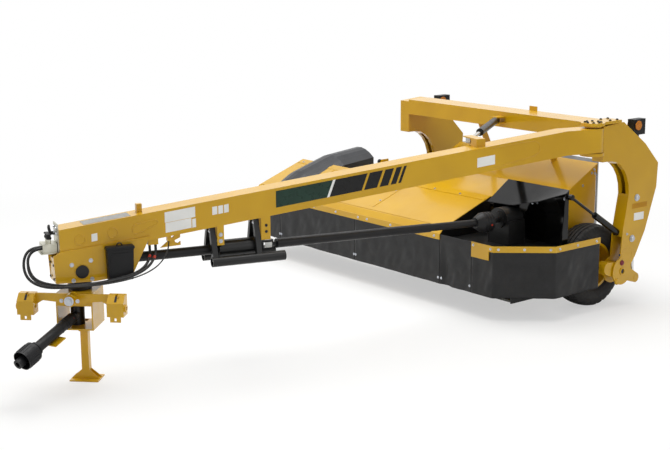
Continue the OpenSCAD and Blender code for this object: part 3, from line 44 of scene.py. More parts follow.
# Tongue: its pivot pin, its angle from straight ahead, its section and where it starts to fall
tongue = {"x": 1227.0, "y": -250.0, "yaw": 15.6, "top": 1597.0, "height": 200.0, "width": 180.0,
          "level": 300.0, "slope": 6.1}
# Hitch: distance of its swivel axis along the tongue and its turn from the tongue's line
hitch = {"along": 4300.0, "turn": 60.0}
bothSides = (1, -1)
up = Vector((0.0, 0.0, 1.0))


def place(x, y, z):
    return Vector(((x + datum["x"]) * mm, (y + datum["y"]) * mm, z * mm))


def onTongue(s, y, z):
    a = math.radians(tongue["yaw"])
    x = tongue["x"] - s * math.sin(a) + y * math.cos(a)
    return place(x, tongue["y"] - s * math.cos(a) - y * math.sin(a), z)


def onHitch(x, y, z):
    a = math.radians(hitch["turn"])
    s = hitch["along"] + x * math.cos(a) - y * math.sin(a)
    return onTongue(s, x * math.sin(a) + y * math.cos(a), z)


def tongueTop(s):
    return tongue["top"] - max(0.0, s - tongue["level"]) * math.tan(math.radians(tongue["slope"]))


tongueLeft = (onTongue(0, 1, 0) - onTongue(0, 0, 0)).normalized()
tongueAhead = (onTongue(1, 0, 0) - onTongue(0, 0, 0)).normalized()
hitchLeft = (onHitch(0, 1, 0) - onHitch(0, 0, 0)).normalized()
hitchAhead = (onHitch(1, 0, 0) - onHitch(0, 0, 0)).normalized()


# Pairs of places on an arc, at angles in degrees
def arcPoints(u, v, radius, angles, tall=None):
    return [(u + radius * math.cos(math.radians(d)), v + (tall or radius) * math.sin(math.radians(d)))
            for d in angles]


def roundAngles(count):
    return [360.0 * k / count for k in range(count)]


# Colours are written as sRGB hex and turned to linear light here
def colour(code):
    parts = [int(code[i:i + 2], 16) / 255 for i in (1, 3, 5)]
    return tuple(p / 12.92 if p <= 0.04045 else ((p + 0.055) / 1.055) ** 2.4 for p in parts) + (1.0,)


def grey(value):
    return (value, value, value, 1.0)


# Adds a node with its links and settings, and may lead its first output into a socket
def addNode(tree, kind, links, settings, into=None):
    made = tree.nodes.new(kind)
    for key, value in settings.items():
        if key == "stops":
            for element, (at, shade) in zip(made.color_ramp.elements, value):
                element.position = at
                element.color = shade
        elif key in made.inputs:
            made.inputs[key].default_value = value
        else:
            setattr(made, key, value)
    for key, source in links.items():
        tree.links.new(source, made.inputs[key])
    if into is not None:
        tree.links.new(made.outputs[0], into)
    return made


def newMaterial(name, settings):
    made = bpy.data.materials.new(name)
    made.use_nodes = True
    tree = made.node_tree
    shader = tree.nodes["Principled BSDF"]
    for key, value in settings.items():
        shader.inputs[key].default_value = value
    return made, tree, shader


# Speckle of a real size in millimetres, laid over the object's own coordinates
def speckle(tree, size, detail=3.0, rough=0.55, stretch=(1.0, 1.0, 1.0)):
    where = addNode(tree, "ShaderNodeTexCoord", {}, {}).outputs["Object"]
    drawn = addNode(tree, "ShaderNodeMapping", {"Vector": where}, {"Scale": stretch}).outputs["Vector"]
    return addNode(tree, "ShaderNodeTexNoise", {"Vector": drawn},
                   {"Scale": 1.0 / (size * mm), "Detail": detail, "Roughness": rough}).outputs["Fac"]


# A finish: speckles lead its colour and its gloss between two values each, and a third raises its skin.
# Tint and gloss give speckle, span and values; relief gives speckle, strength and depth in millimetres.
def surface(name, settings, relief, tint, gloss=None):
    made, tree, shader = newMaterial(name, settings)
    for socket, layer in (("Base Color", tint), ("Roughness", gloss)):
        if layer:
            pattern, span, values = layer
            addNode(tree, "ShaderNodeValToRGB", {"Fac": speckle(tree, *pattern)},
                    {"stops": list(zip(span, values))}, shader.inputs[socket])
    pattern, strength, depth = relief
    addNode(tree, "ShaderNodeBump", {"Height": speckle(tree, *pattern)},
            {"Strength": strength, "Distance": depth * mm}, shader.inputs["Normal"])
    return made


# Stove enamel sprayed on steel: faint orange peel, a slow drift of colour and dulled patches of dust
def enamel(name, base, shade, rough, coat=0.0, shine=0.3, peel=2.6, drift=420.0):
    return surface(name, {"Coat Weight": coat, "Coat Roughness": 0.12, "Specular IOR Level": shine},
                   ((peel, 1.0, 0.4), 0.25, 0.05),
                   ((drift, 2.0, 0.5), (0.3, 0.68), (colour(shade), colour(base))),
                   ((drift * 0.35, 4.0, 0.6), (0.35, 0.7), (grey(rough * 0.85), grey(rough * 1.25))))


# Moulded plastic or printed film: slightly uneven gloss over the tool's grain, drawn coarser so it shows
def moulded(name, base, shade, rough, grain=1.4, depth=0.08, shine=0.3):
    return surface(name, {"Specular IOR Level": shine}, ((grain, 2.0), 0.35, depth),
                   ((160.0, 3.0), (0.3, 0.7), (colour(shade), colour(base))),
                   ((40.0, 4.0), (0.3, 0.7), (grey(rough * 0.8), grey(rough * 1.2))))


# Cured rubber: matt, with pale bloom in patches and a slightly uneven skin
def rubbery(name, base, bloom, rough, grain=3.0, depth=0.25):
    return surface(name, {"Specular IOR Level": 0.35}, ((grain, 3.0), 0.4, depth),
                   ((90.0, 5.0, 0.65), (0.35, 0.75), (colour(base), colour(bloom))),
                   ((30.0, 3.0), (0.3, 0.7), (grey(rough * 0.85), grey(rough * 1.1))))


# Bare or plated metal: a drawn or dull grain breaks up its reflections, coarser than real so it shows
def metal(name, base, shade, rough, stretch=(1.0, 1.0, 14.0), grain=9.0):
    lines = (grain, 2.0, 0.5, stretch)
    return surface(name, {"Metallic": 1.0}, (lines, 0.2, 0.02),
                   ((60.0, 4.0), (0.3, 0.7), (colour(shade), colour(base))),
                   (lines, (0.3, 0.7), (grey(rough * 0.75), grey(rough * 1.3))))


# Clear amber polycarbonate: deep colour, part see-through, with moulded prisms
def lensPlastic(name, base, shade):
    return surface(name, {"Transmission Weight": 0.25, "Roughness": 0.12}, ((5.0, 1.0), 0.5, 0.5),
                   ((14.0, 2.0), (0.3, 0.7), (colour(shade), colour(base))))


# Rubber-coated cloth: scuffs over soft dents, and a weave drawn at 9 mm since a real thread wouldn't show
def coatedCloth(name, base, scuff, thread=9.0):
    made = surface(name, {"Specular IOR Level": 0.3}, ((55.0, 4.0, 0.6), 0.35, 2.0),
                   ((140.0, 6.0, 0.65), (0.34, 0.78), (colour(base), colour(scuff))),
                   ((60.0, 4.0), (0.3, 0.7), (grey(0.36), grey(0.52))))
    tree = made.node_tree
    skin = tree.nodes["Principled BSDF"].inputs["Normal"]
    dents = skin.links[0].from_socket
    where = addNode(tree, "ShaderNodeTexCoord", {}, {}).outputs["Object"]
    warp, weft = [addNode(tree, "ShaderNodeTexWave", {"Vector": where},
                          {"bands_direction": way, "Scale": 1.0 / (thread * mm * math.tau)}).outputs["Fac"]
                  for way in ("X", "Z")]
    weave = addNode(tree, "ShaderNodeMath", {0: warp, 1: weft}, {"operation": "MULTIPLY"}).outputs["Value"]
    addNode(tree, "ShaderNodeBump", {"Height": weave, "Normal": dents},
            {"Strength": 0.25, "Distance": 0.2 * mm}, skin)
    return made


evenGrain = (1.0, 1.0, 1.0)
yellowPaint = enamel("yellowEnamel", "#cea00b", "#c49607", 0.34, 0.6, 0.2)  # pales where it mirrors the sky
fadedPaint = enamel("fadedYellowEnamel", "#bb8618", "#b07d14", 0.5, 0.0, 0.2)  # dull patch of old paint
blackPaint = enamel("blackEnamel", "#0b0b0b", "#070707", 0.09)  # deep gloss that mirrors its surroundings
satinBlack = enamel("satinBlackEnamel", "#171717", "#101010", 0.34, 0.0, 0.35)  # soft sheen on black steel
blackPlastic = moulded("blackPolyethylene", "#18181a", "#101011", 0.42, shine=0.25)  # dull guards and cases
greyPlastic = moulded("greyPolyethylene", "#353639", "#2b2c2f", 0.36, shine=0.28)  # smooth dark cover
redTape = moulded("redTape", "#c23a22", "#a93020", 0.5)  # bright marks on hoses and joints
greenVinyl = moulded("darkGreenVinyl", "#1d3a2e", "#183126", 0.3, 1.0, 0.02)  # flat film on the tongue
blackFilmAndPaintedShade = moulded("blackFilmAndPaintedShade", "#161616", "#121212", 0.3, 1.0, 0.02)  # flat black film, and painted shade in the leg eyes, leg holes and link slots
whiteVinyl = moulded("whiteVinyl", "#f1f1ee", "#e6e6e2", 0.35, 1.0, 0.02)  # blank label film
curtainCloth = coatedCloth("rubberCoatedCloth", "#161617", "#242425")  # limp sheet with a dull shine
tyreRubber = rubbery("tyreRubber", "#1b1b1c", "#2c2b2a", 0.72)  # dusty black
hoseRubber = rubbery("hoseRubber", "#141415", "#222222", 0.5, 1.8, 0.12)  # extruded, a little glossier
rollRubber = rubbery("rollRubber", "#222222", "#323130", 0.7)  # worn grey by the crop
maroonRubber = rubbery("maroonRubber", "#6b1c2b", "#7d2a38", 0.55)  # plugs in the legs
gripTape = rubbery("antiSlipTape", "#8d8d8b", "#a2a29f", 0.85, 1.2, 0.5)  # gritty grey
brightSteel = metal("chromedSteel", "#d8d8d6", "#c2c2c0", 0.12)  # mirror-like rods
bareSteel = metal("bareSteel", "#9b9a95", "#7c7b77", 0.42)  # ground by the crop
zincPlate = metal("zincPlate", "#cfcdbf", "#b4b2a2", 0.35, evenGrain, 3.0)  # pale yellowish plating
zincBolt = metal("zincBolt", "#c9ccd2", "#a9adb4", 0.3, evenGrain, 2.5)  # bluish bright bolts
darkBolt = metal("phosphatedBolt", "#3a3a3c", "#2a2a2c", 0.4, evenGrain, 2.5)  # dark grey bolts
amberLens = lensPlastic("amberPolycarbonate", "#ee9a22", "#c9690b")  # glows where light falls through

wearers = [
    (yellowPaint, "carrier_beam legs tongue_clevis sign_bracket deck hood front_rail head_links"),
    (yellowPaint, "tongue_tube gearbox_housing hitch_frame hitch_bar jack_leg"),
    (yellowPaint, "left_arm right_arm left_rim right_rim"),
    (satinBlack, "platform head_gearbox end_plates swath_shields swivel_gearbox driveline_cradle"),
    (satinBlack, "pto_gearbox left_lift_barrel right_lift_barrel swing_barrel"),
    (blackPaint, "gearbox_shield suspension_struts"),
    (blackPlastic, "lamp_housings document_box driveline_front driveline_outer driveline_inner pto_shaft"),
    (greyPlastic, "end_dome"),
    (amberLens, "lamp_lenses"),
    (curtainCloth, "curtains"),
    (brightSteel, "left_lift_rod right_lift_rod swing_rod"),
    (bareSteel, "cutter_bar disc_1 disc_2 disc_3 disc_4 disc_5 disc_6 disc_7 disc_8"),
    (zincPlate, "valve_block"),
    (hoseRubber, "pressure_hose return_hose lamp_cable"),
    (tyreRubber, "left_tyre right_tyre"),
    (rollRubber, "upper_roll lower_roll"),
]
for finish, names in wearers:
    for name in names.split():
        nodes[name].data.materials.clear()
        nodes[name].data.materials.append(finish)
print("stage: materials made")


def newObject(name, mesh, body, finish):
    made = bpy.data.objects.new(name, mesh)
    bpy.context.scene.collection.objects.link(made)
    mesh.materials.append(finish)
    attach(made, body)
    return made


def meshOf(name, build):
    shape = bmesh.new()
    build(shape)
    mesh = bpy.data.meshes.new(name)
    shape.to_mesh(mesh)
    shape.free()
    return mesh


# Turn that lays the Z axis along a direction
def facing(ahead):
    return Vector(ahead).to_track_quat("Z", "Y").to_matrix().to_4x4()


# Camera of the photograph: place, turn to the left, tilt down, roll in radians and lens
camera = {"x": 8224.1, "y": -8628.2, "z": 3080.9, "turn": 51.13, "down": 12.09, "roll": -0.0053,
          "lens": 70.18, "sensor": 36.0, "reach": 200.0}
turn, down = math.radians(camera["turn"]), math.radians(camera["down"])
forward = Vector((-math.sin(turn) * math.cos(down), math.cos(turn) * math.cos(down), -math.sin(down)))
across = Vector((math.cos(turn), math.sin(turn), 0.0))
rolled = across * math.cos(camera["roll"]) + across.cross(forward) * math.sin(camera["roll"])
eye = bpy.data.cameras.new("photoCamera")
eye.lens = camera["lens"]
eye.sensor_width = camera["sensor"]
eye.clip_end = camera["reach"]
viewer = bpy.data.objects.new("photoCamera", eye)
bpy.context.scene.collection.objects.link(viewer)
viewer.matrix_world = Matrix((rolled, rolled.cross(forward), -forward)).transposed().to_4x4()
viewer.location = place(camera["x"], camera["y"], camera["z"])
bpy.context.scene.camera = viewer
print("stage: camera set")


# Smooth line through the points of a route, each stretch cut into steps
def smoothLine(points, steps=5):
    line = []
    for i in range(len(points) - 1):
        p = [points[min(max(j, 0), len(points) - 1)] for j in (i - 1, i, i + 1, i + 2)]
        for k in range(steps):
            u = k / steps
            line.append(0.5 * ((2 * p[1]) + (p[2] - p[0]) * u
                               + (2 * p[0] - 5 * p[1] + 4 * p[2] - p[3]) * u * u
                               + (3 * p[1] - p[0] - 3 * p[2] + p[3]) * u ** 3))
    return line + [points[-1]]


# Even out a cord's line: equal steps, then a few rounds of averaging with its ends held
def easedLine(points, step=12.0, rounds=14):
    line = smoothLine(points)
    runs = [(q - p).length for p, q in zip(line, line[1:])]
    count = max(8, int(sum(runs) / (step * mm)))
    even = []
    for k in range(count + 1):
        left = sum(runs) * k / count
        for p, q, run in zip(line, line[1:], runs):
            if left <= run:
                break
            left -= run
        even.append(p.lerp(q, min(1.0, left / run)))
    for turn in range(rounds):
        even = even[:1] + [(p + 2 * q + r) / 4 for p, q, r in zip(even, even[1:-1], even[2:])] + even[-1:]
    return even


# Round bar or hose along a line of points
def tubeAlong(name, line, radius, roundness=2, closed=False):
    curve = bpy.data.curves.new(name, "CURVE")
    curve.dimensions = "3D"
    curve.bevel_depth = radius * mm
    curve.bevel_resolution = roundness
    curve.use_fill_caps = True
    spline = curve.splines.new("POLY")
    spline.points.add(len(line) - 1)
    spline.use_cyclic_u = closed
    for point, at in zip(spline.points, line):
        point.co = (*at, 1.0)
    return curve


def barAlong(name, body, finish, line, radius, closed=False):
    newObject(name, tubeAlong(name, line, radius, 2, closed), body, finish)


# Hoses and lamp cable from the tongue's tip to its underside; routes repeat the source's points
cords = {
    "pressureHose": {"node": "pressure_hose", "radius": 10.0, "route": [
        (4560, 30, 1022), (4590, 30, 1022), (4632, 36, 1011), (4661, 48, 980), (4672, 64, 945),
        (4668, 84, 902), (4655, 110, 851), (4610, 140, 814), (4530, 164, 789), (4430, 178, 775),
        (4320, 184, 772), (4200, 186, 775), (4080, 188, 788), (3970, 186, 808), (3890, 165, 834),
        (3840, 130, 862), (3808, 90, 896), (3793, 50, 925), (3790, 34, 945), (3790, 27, 962),
        (3790, 25, 975), (3790, 25, 985)]},
    "returnHose": {"node": "return_hose", "radius": 10.0, "route": [
        (4560, -20, 1022), (4600, -20, 1022), (4645, -12, 1010), (4677, 6, 977), (4691, 30, 940),
        (4698, 60, 896), (4682, 108, 836), (4630, 152, 797), (4545, 186, 775), (4430, 203, 771),
        (4320, 209, 771), (4200, 211, 775), (4080, 212, 786), (3970, 209, 804), (3880, 188, 832),
        (3818, 150, 862), (3776, 108, 902), (3759, 86, 925), (3755, 69, 945), (3755, 62, 962),
        (3755, 60, 975), (3755, 60, 985)]},
    "lampCable": {"node": "lamp_cable", "radius": 5.0, "route": [
        (4560, 48, 1042), (4595, 48, 1042), (4640, 62, 1022), (4674, 92, 970), (4684, 128, 900),
        (4662, 168, 842), (4605, 202, 808), (4515, 226, 788), (4400, 238, 777), (4270, 242, 773),
        (4130, 240, 777), (3990, 234, 791), (3870, 214, 816), (3770, 176, 854), (3700, 126, 908),
        (3664, 84, 955), (3656, 70, 971), (3655, 62, 983), (3655, 60, 992), (3655, 60, 1000)]},
}
cordLines = {name: easedLine([onTongue(*p) for p in facts["route"]]) for name, facts in cords.items()}
for name, facts in cords.items():
    line = cordLines[name]
    made = newObject(name, tubeAlong(name, line, facts["radius"], 3), "tongue", hoseRubber)
    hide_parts(facts["node"])
print("stage: cords laid")


# Hex heads on their washers, sized by radius and height; a row gives shares of these and the sides
hexRows = ((1.45, 0.0, 0.18, 20), (1.0, 0.18, 1.0, 6))
hexTaper = 0.94


def boltSet(name, body, finish, rows, size):
    radius, height = size

    def build(shape):
        for at, normal in rows:
            for r, low, high, sides in hexRows:
                made = bmesh.ops.create_cone(shape, cap_ends=True, segments=sides, radius1=radius * r * mm,
                                             radius2=radius * r * hexTaper * mm,
                                             depth=(high - low) * height * mm)
                bmesh.ops.translate(shape, vec=up * (low + high) / 2 * height * mm, verts=made["verts"])
                bmesh.ops.transform(shape, matrix=Matrix.Translation(at) @ facing(normal),
                                    verts=made["verts"])
    newObject(name, meshOf(name, build), body, finish)


# Closed prism over an outline of points, raised along a vector
def prism(shape, points, rise):
    low = [shape.verts.new(p) for p in points]
    high = [shape.verts.new(p + rise) for p in points]
    count = len(points)
    shape.faces.new(list(reversed(low)))
    shape.faces.new(high)
    for i in range(count):
        shape.faces.new((low[i], low[(i + 1) % count], high[(i + 1) % count], high[i]))


def plateSet(name, body, finish, outlines, rise, edge=0.0):
    def build(shape):
        for points in outlines:
            prism(shape, points, rise)
        bmesh.ops.recalc_face_normals(shape, faces=shape.faces)
        if edge:
            bmesh.ops.bevel(shape, geom=list(shape.edges), offset=edge * mm, segments=2, affect="EDGES")
    newObject(name, meshOf(name, build), body, finish)


# Solids of revolution from a list of radius and height in millimetres, each standing on a face
def turnedSet(name, body, finish, rows, profile, sides=28):
    def build(shape):
        for at, normal in rows:
            stand = Matrix.Translation(at) @ facing(normal)
            rings = [[shape.verts.new(stand @ (Vector((u, v, h)) * mm))
                      for u, v in arcPoints(0.0, 0.0, r, roundAngles(sides))] for r, h in profile]
            for low, high in zip(rings, rings[1:]):
                for k in range(sides):
                    shape.faces.new((low[k], low[(k + 1) % sides], high[(k + 1) % sides], high[k]))
            shape.faces.new(list(reversed(rings[0])))
            shape.faces.new(rings[-1])
    newObject(name, meshOf(name, build), body, finish)


# Curtains: heights, thickness, and how the cloth stands off its path and folds, in millimetres
curtain = {"top": 645.7, "low": 207.0, "thick": 5.0, "front": -1047.0, "column": 14.0, "rows": 34,
           "stand": 3.5, "outmost": -9.0, "laced": 70.0, "heldShare": 0.12, "freeShare": 0.4, "belly": 5.0,
           "fold": 12.0, "ripple": 6.0, "foldLength": 260.0, "crease": 7.0, "creaseLength": 95.0}
# Folds of a panel against the sizes above; the others hang straighter
looseness = {"curtainFlap": 2.2, "curtainDrive": 1.3}
straighter = 0.9
# Paths of the panels seen from above, with the machine's inside to their left
front = curtain["front"]
panels = {
    "curtainFrontRight": [(-2462, front), (-2048.3, front)],
    "curtainFrontMiddle": [(-2047.3, front), (-886.9, front)],
    "curtainFrontLeft": [(-885.9, front), (255.5, front)],
    "curtainFlap": [(256.5, front), (643.5, front)],
    "curtainDrive": [(645, front), (893, front), (1231, -665), (1231, -110)],
    "curtainRightEnd": [(-2457.7, -447), (-2457.7, -1035)],
}


# Place on a path and the direction inward from it; past the end it stays at the end
def alongPath(legs, along):
    for p, q in legs:
        ahead = (q - p).normalized()
        inward = Vector((-ahead.y, ahead.x, 0.0))
        if along <= (q - p).length + 1e-6:
            return p + ahead * along, inward
        along -= (q - p).length
    return legs[-1][1], inward


# How far the cloth hangs inward of its path; u is the run along it and v the share of the drop.
# The plain numbers only pick places in the noise.
def swayAt(u, v, total, seed, loose):
    free = max(0.0, min(1.0, (v - curtain["heldShare"]) / curtain["freeShare"]))
    key = Vector((u / curtain["foldLength"] + seed * 7.1, v * 1.1 + seed, seed * 3.3))
    fold = noise.noise(key) * curtain["fold"] + noise.noise(key * 2.7) * curtain["ripple"]
    pinch = noise.noise(Vector((u / curtain["creaseLength"] + v * 1.9, v * 2.6 + seed, 4.0)))
    crease = -abs(pinch) * curtain["crease"]
    # The laced edges hang straight
    laced = min(1.0, u / curtain["laced"], (total - u) / curtain["laced"])
    sway = curtain["stand"] + (fold + crease + curtain["belly"]) * free * loose * laced
    return max(sway, curtain["outmost"])


def hangCurtain(name, path, seed):
    legs = [(Vector((*p, 0.0)), Vector((*q, 0.0))) for p, q in zip(path, path[1:])]
    total = sum((q - p).length for p, q in legs)
    columns = max(12, int(total / curtain["column"]))
    rows = curtain["rows"]
    drop = curtain["top"] - curtain["low"]

    def build(shape):
        grid = []
        for j in range(rows + 1):
            row = []
            for i in range(columns + 1):
                u = total * i / columns
                at, inward = alongPath(legs, u)
                point = at + inward * swayAt(u, j / rows, total, seed, looseness.get(name, straighter))
                row.append(shape.verts.new(place(point.x, point.y, curtain["top"] - j / rows * drop)))
            grid.append(row)
        for j in range(rows):
            for i in range(columns):
                corners = (grid[j][i], grid[j][i + 1], grid[j + 1][i + 1], grid[j + 1][i])
                shape.faces.new(corners).smooth = True
    made = newObject(name, meshOf(name, build), "carrier", curtainCloth)
    skin = made.modifiers.new("thickness", "SOLIDIFY")
    skin.thickness = curtain["thick"] * mm
    skin.offset = 0.0
    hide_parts("curtains")


for seed, (name, path) in enumerate(panels.items()):
    hangCurtain(name, path, seed + 1)
print("stage: curtains hung")

# Bolts in the front rail: along its front, on its bend as shares of it, and back along its side
rail = {"thick": 8.0, "z": 626.0, "bolt": (8.0, 8.0), "bend": (0.08, 0.5, 0.92),
        "front": (-2380, -2110, -1980, -1826, -1493, -1160, -833, -706, -380, -118, 190, 668, 868),
        "side": (-620, -400, -160)}
bendFrom, bendTo = [Vector((*p, rail["z"])) for p in panels["curtainDrive"][1:3]]
bendRun = bendTo - bendFrom
bendOut = Vector((bendRun.y, -bendRun.x, 0.0)).normalized()
rows = [(place(x, front - rail["thick"], rail["z"]), (0, -1, 0)) for x in rail["front"]]
rows += [(place(*(bendFrom + bendRun * share + bendOut * rail["thick"])), bendOut)
         for share in rail["bend"]]
rows += [(place(bendTo.x + rail["thick"], y, rail["z"]), (1, 0, 0)) for y in rail["side"]]
boltSet("railBolts", "carrier", zincBolt, rows, rail["bolt"])
# Grommets where the curtains' lower corners are laced
grommet = {"x": (-2036, -2062, -878, -904, 236, 276, 622), "y": -1046.0, "z": 262.0,
           "bolt": (8.0, 5.0)}
rows = [(place(x, grommet["y"], grommet["z"]), (0, -1, 0)) for x in grommet["x"]]
boltSet("curtainGrommets", "carrier", zincBolt, rows, grommet["bolt"])

# Films on the tongue's left side stand a hair off the steel
film = {"gap": 0.1, "skin": 0.5}
tongueSide = tongue["width"] / 2
filmSide = tongueSide + film["gap"]
# Stripe: pieces by the lean of their fore ends and their lower ends along the tongue; tops lean rearward
stripe = {"drop": 22.0, "height": 125.0, "lean": 50.0, "pieces": {
    "stripeGreen": (greenVinyl, 0.0, ((2835, 2424),)),
    "stripeWhite": (whiteVinyl, 50.0, ((2424, 2403),)),
    "stripeBlack": (blackFilmAndPaintedShade, 50.0, ((2403, 2137), (2117, 2008), (1986, 1914), (1892, 1846),
                                       (1828, 1804)))}}
for name, (finish, foreLean, runs) in stripe["pieces"].items():
    outlines = []
    for fore, aft in runs:
        corners = ((fore, stripe["height"]), (aft, stripe["height"]), (aft - stripe["lean"], 0),
                   (fore - foreLean, 0))
        outlines.append([onTongue(s, filmSide, tongueTop(s) - stripe["drop"] - low) for s, low in corners])
    plateSet(name, "tongue", finish, outlines, tongueLeft * film["skin"] * mm)

# Blank label places on the tongue: along the tongue fore and aft, top and bottom heights at the fore end
labels = [(3688, 3460, 1216, 1140), (3684, 3490, 1138, 1066), (3484, 3456, 1150, 1086),
          (3330, 3292, 1226, 1166), (3284, 3248, 1230, 1170), (3240, 3204, 1235, 1175),
          (4222, 4180, 1106, 1052), (1135, 975, 1434, 1358)]
fall = math.tan(math.radians(tongue["slope"]))
outlines = []
for fore, aft, high, low in labels:
    rise = (fore - aft) * fall
    corners = ((fore, low), (aft, low + rise), (aft, high + rise), (fore, high))
    outlines.append([onTongue(s, filmSide, z) for s, z in corners])
plateSet("blankLabels", "tongue", whiteVinyl, outlines, tongueLeft * film["skin"] * mm)
# Grey anti-slip strip on the tongue's top near its tip
grip = {"corners": ((4270, 70), (3930, 70), (3930, -60), (4270, -60)), "thick": 1.2}
plateSet("antiSlipStrip", "tongue", gripTape,
         [[onTongue(s, y, tongueTop(s) + film["gap"]) for s, y in grip["corners"]]],
         up * grip["thick"] * mm)


# Pressed rings and a pressed teardrop on the tongue's side, and the welded gusset's edge near the pivot
def sideLine(points, y=tongueSide):
    return [onTongue(s, y, z) for s, z in points]


pressed = {"rings": ((4304, 1073, 36), (4071, 1101, 36)), "sides": 28, "fore": (3886, 1112, 40),
           "aft": (3760, 1152, 20), "bead": 4.0}
gusset = {"nose": (634, 1478, 74), "tall": 62, "end": 1010, "high": 16, "low": 182, "bead": 3.5}
for number, ring in enumerate(pressed["rings"]):
    barAlong("pressedRing%d" % (number + 1), "tongue", yellowPaint,
             sideLine(arcPoints(*ring, roundAngles(pressed["sides"]))), pressed["bead"], True)
tear = arcPoints(*pressed["fore"], range(-70, 80, 10)) + arcPoints(*pressed["aft"], range(90, 271, 20))
barAlong("pressedTeardrop", "tongue", yellowPaint, sideLine(tear), pressed["bead"], True)
ends = [(gusset["end"], tongueTop(gusset["end"]) - gusset[edge]) for edge in ("low", "high")]
weld = ends[:1] + arcPoints(*gusset["nose"], range(260, 99, -10), gusset["tall"]) + ends[1:]
barAlong("gussetWeld", "tongue", yellowPaint, sideLine(weld), gusset["bead"])

# Bolts of the gearbox housing on both sides, and of the hangers under the tongue, by place and height
housing = {"spots": ((4372, 900), (4236, 920), (4364, 786), (4232, 786)), "out": 10.0,
           "hanger": ((3270, 966), (3270, 1014)), "bolt": (11.0, 11.0)}
rows = [(onTongue(s, way * (tongueSide + housing["out"]), z), way * tongueLeft)
        for way in bothSides for s, z in housing["spots"]]
rows += [(onTongue(s, tongueSide, z), tongueLeft) for s, z in housing["hanger"]]
boltSet("housingBolts", "tongue", zincBolt, rows, housing["bolt"])
dark = {"s": 4490, "y": (-60, 60), "z": (800, 900), "hanger": ((2914, 1006), (2914, 1053)),
        "bolt": (8.0, 7.0)}
rows = [(onTongue(dark["s"], y, z), tongueAhead) for y in dark["y"] for z in dark["z"]]
rows += [(onTongue(s, tongueSide, z), tongueLeft) for s, z in dark["hanger"]]
boltSet("darkBolts", "tongue", darkBolt, rows, dark["bolt"])

# Document box: a layer gives its insets at foot and head, its heights and how proud it stands
box = {"s": 3938.0, "length": 194.0, "z": 766.0, "y": 100.0, "deep": 58.0, "edge": 5.0, "split": 40.0,
       "layers": ((8, 0, 0, 238, 0), (-5, -5, 222, 248, 7), (24, 20, 24, 204, 2.5)),
       "eye": (4035, 1012, 20), "eyeTall": 22, "eyeSide": 128.0, "eyeBar": 4.5}


def documentCase(shape):
    rear, fore = box["s"], box["s"] + box["length"]
    for foot, head, low, high, proud in box["layers"]:
        corners = ((rear + foot, low), (fore - foot, low), (fore - head, high), (rear + head, high))
        prism(shape, [onTongue(s, box["y"], box["z"] + z) for s, z in corners],
              tongueLeft * (box["deep"] + proud) * mm)
    bmesh.ops.recalc_face_normals(shape, faces=shape.faces)
    bmesh.ops.bevel(shape, geom=list(shape.edges), offset=box["edge"] * mm, segments=3, affect="EDGES")
    for face in shape.faces:
        face.smooth = True


case = newObject("documentCase", meshOf("documentCase", documentCase), "tongue", blackPlastic)
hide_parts("document_box")
case.modifiers.new("facets", "EDGE_SPLIT").split_angle = math.radians(box["split"])
eyeLine = arcPoints(*box["eye"], range(0, 181, 15), box["eyeTall"])
barAlong("caseEye", "tongue", blackPlastic, sideLine(eyeLine, box["eyeSide"]), box["eyeBar"])

# Black caps, bolts and a bent handle at the tongue's tip; a cap's rings give radius and heights
caps = {"s": 4510, "y": (-36, 0, 36), "z": 1085, "rings": ((19, 0, 16), (15, 16, 30), (21, 30, 38)),
        "taper": 0.93, "edge": 1.2, "sides": 24}
tip = {"s": 4456, "y": (40, -40), "z": (1120, 1160), "bolt": (8.0, 8.0), "bar": 7.0, "handle": [
    (4466, -30, 1120), (4490, -30, 1126), (4500, -20, 1160), (4498, 0, 1176), (4500, 20, 1160),
    (4490, 30, 1126), (4466, 30, 1120)]}


def valveCaps(shape):
    for y in caps["y"]:
        for r, low, high in caps["rings"]:
            made = bmesh.ops.create_cone(shape, cap_ends=True, segments=caps["sides"], radius1=r * mm,
                                         radius2=r * caps["taper"] * mm, depth=(high - low) * mm)
            bmesh.ops.translate(shape, vec=onTongue(caps["s"], y, caps["z"] + (low + high) / 2),
                                verts=made["verts"])
    bmesh.ops.bevel(shape, geom=list(shape.edges), offset=caps["edge"] * mm, segments=1, affect="EDGES")


newObject("valveCaps", meshOf("valveCaps", valveCaps), "tongue", blackPlastic)
rows = [(onTongue(tip["s"], y, z), tongueAhead) for z in tip["z"] for y in tip["y"]]
boltSet("tipBolts", "tongue", zincBolt, rows, tip["bolt"])
barAlong("tipHandle", "tongue", blackPlastic, smoothLine([onTongue(*p) for p in tip["handle"]]), tip["bar"])

# Red bands on the hoses, a little over the hose's radius, near the far end of its line
hoseBand = {"radius": 11.2, "stretch": slice(-11, -8)}
for name in ("pressureHose", "returnHose"):
    barAlong(name + "Band", "tongue", redTape, cordLines[name][hoseBand["stretch"]], hoseBand["radius"])

# Ring of bolts over the tongue's pivot, and bolts in the clevis plate's tail
clevis = {"circle": 66, "step": 45, "z": 1642, "tail": [(1150, -60), (1250, -60), (1150, 30), (1250, 30)],
          "bolt": (10.0, 10.0)}
spots = arcPoints(tongue["x"], tongue["y"], clevis["circle"], range(0, 360, clevis["step"]))
spots += clevis["tail"]
boltSet("clevisBolts", "carrier", darkBolt, [(place(x, y, clevis["z"]), up) for x, y in spots],
        clevis["bolt"])

# Nut and washer on the hitch bar's roll pin
rollNut = {"at": (262, 0, 674), "bolt": (24.0, 9.0)}
boltSet("rollNut", "hitch", zincBolt, [(onHitch(*rollNut["at"]), hitchAhead)], rollNut["bolt"])
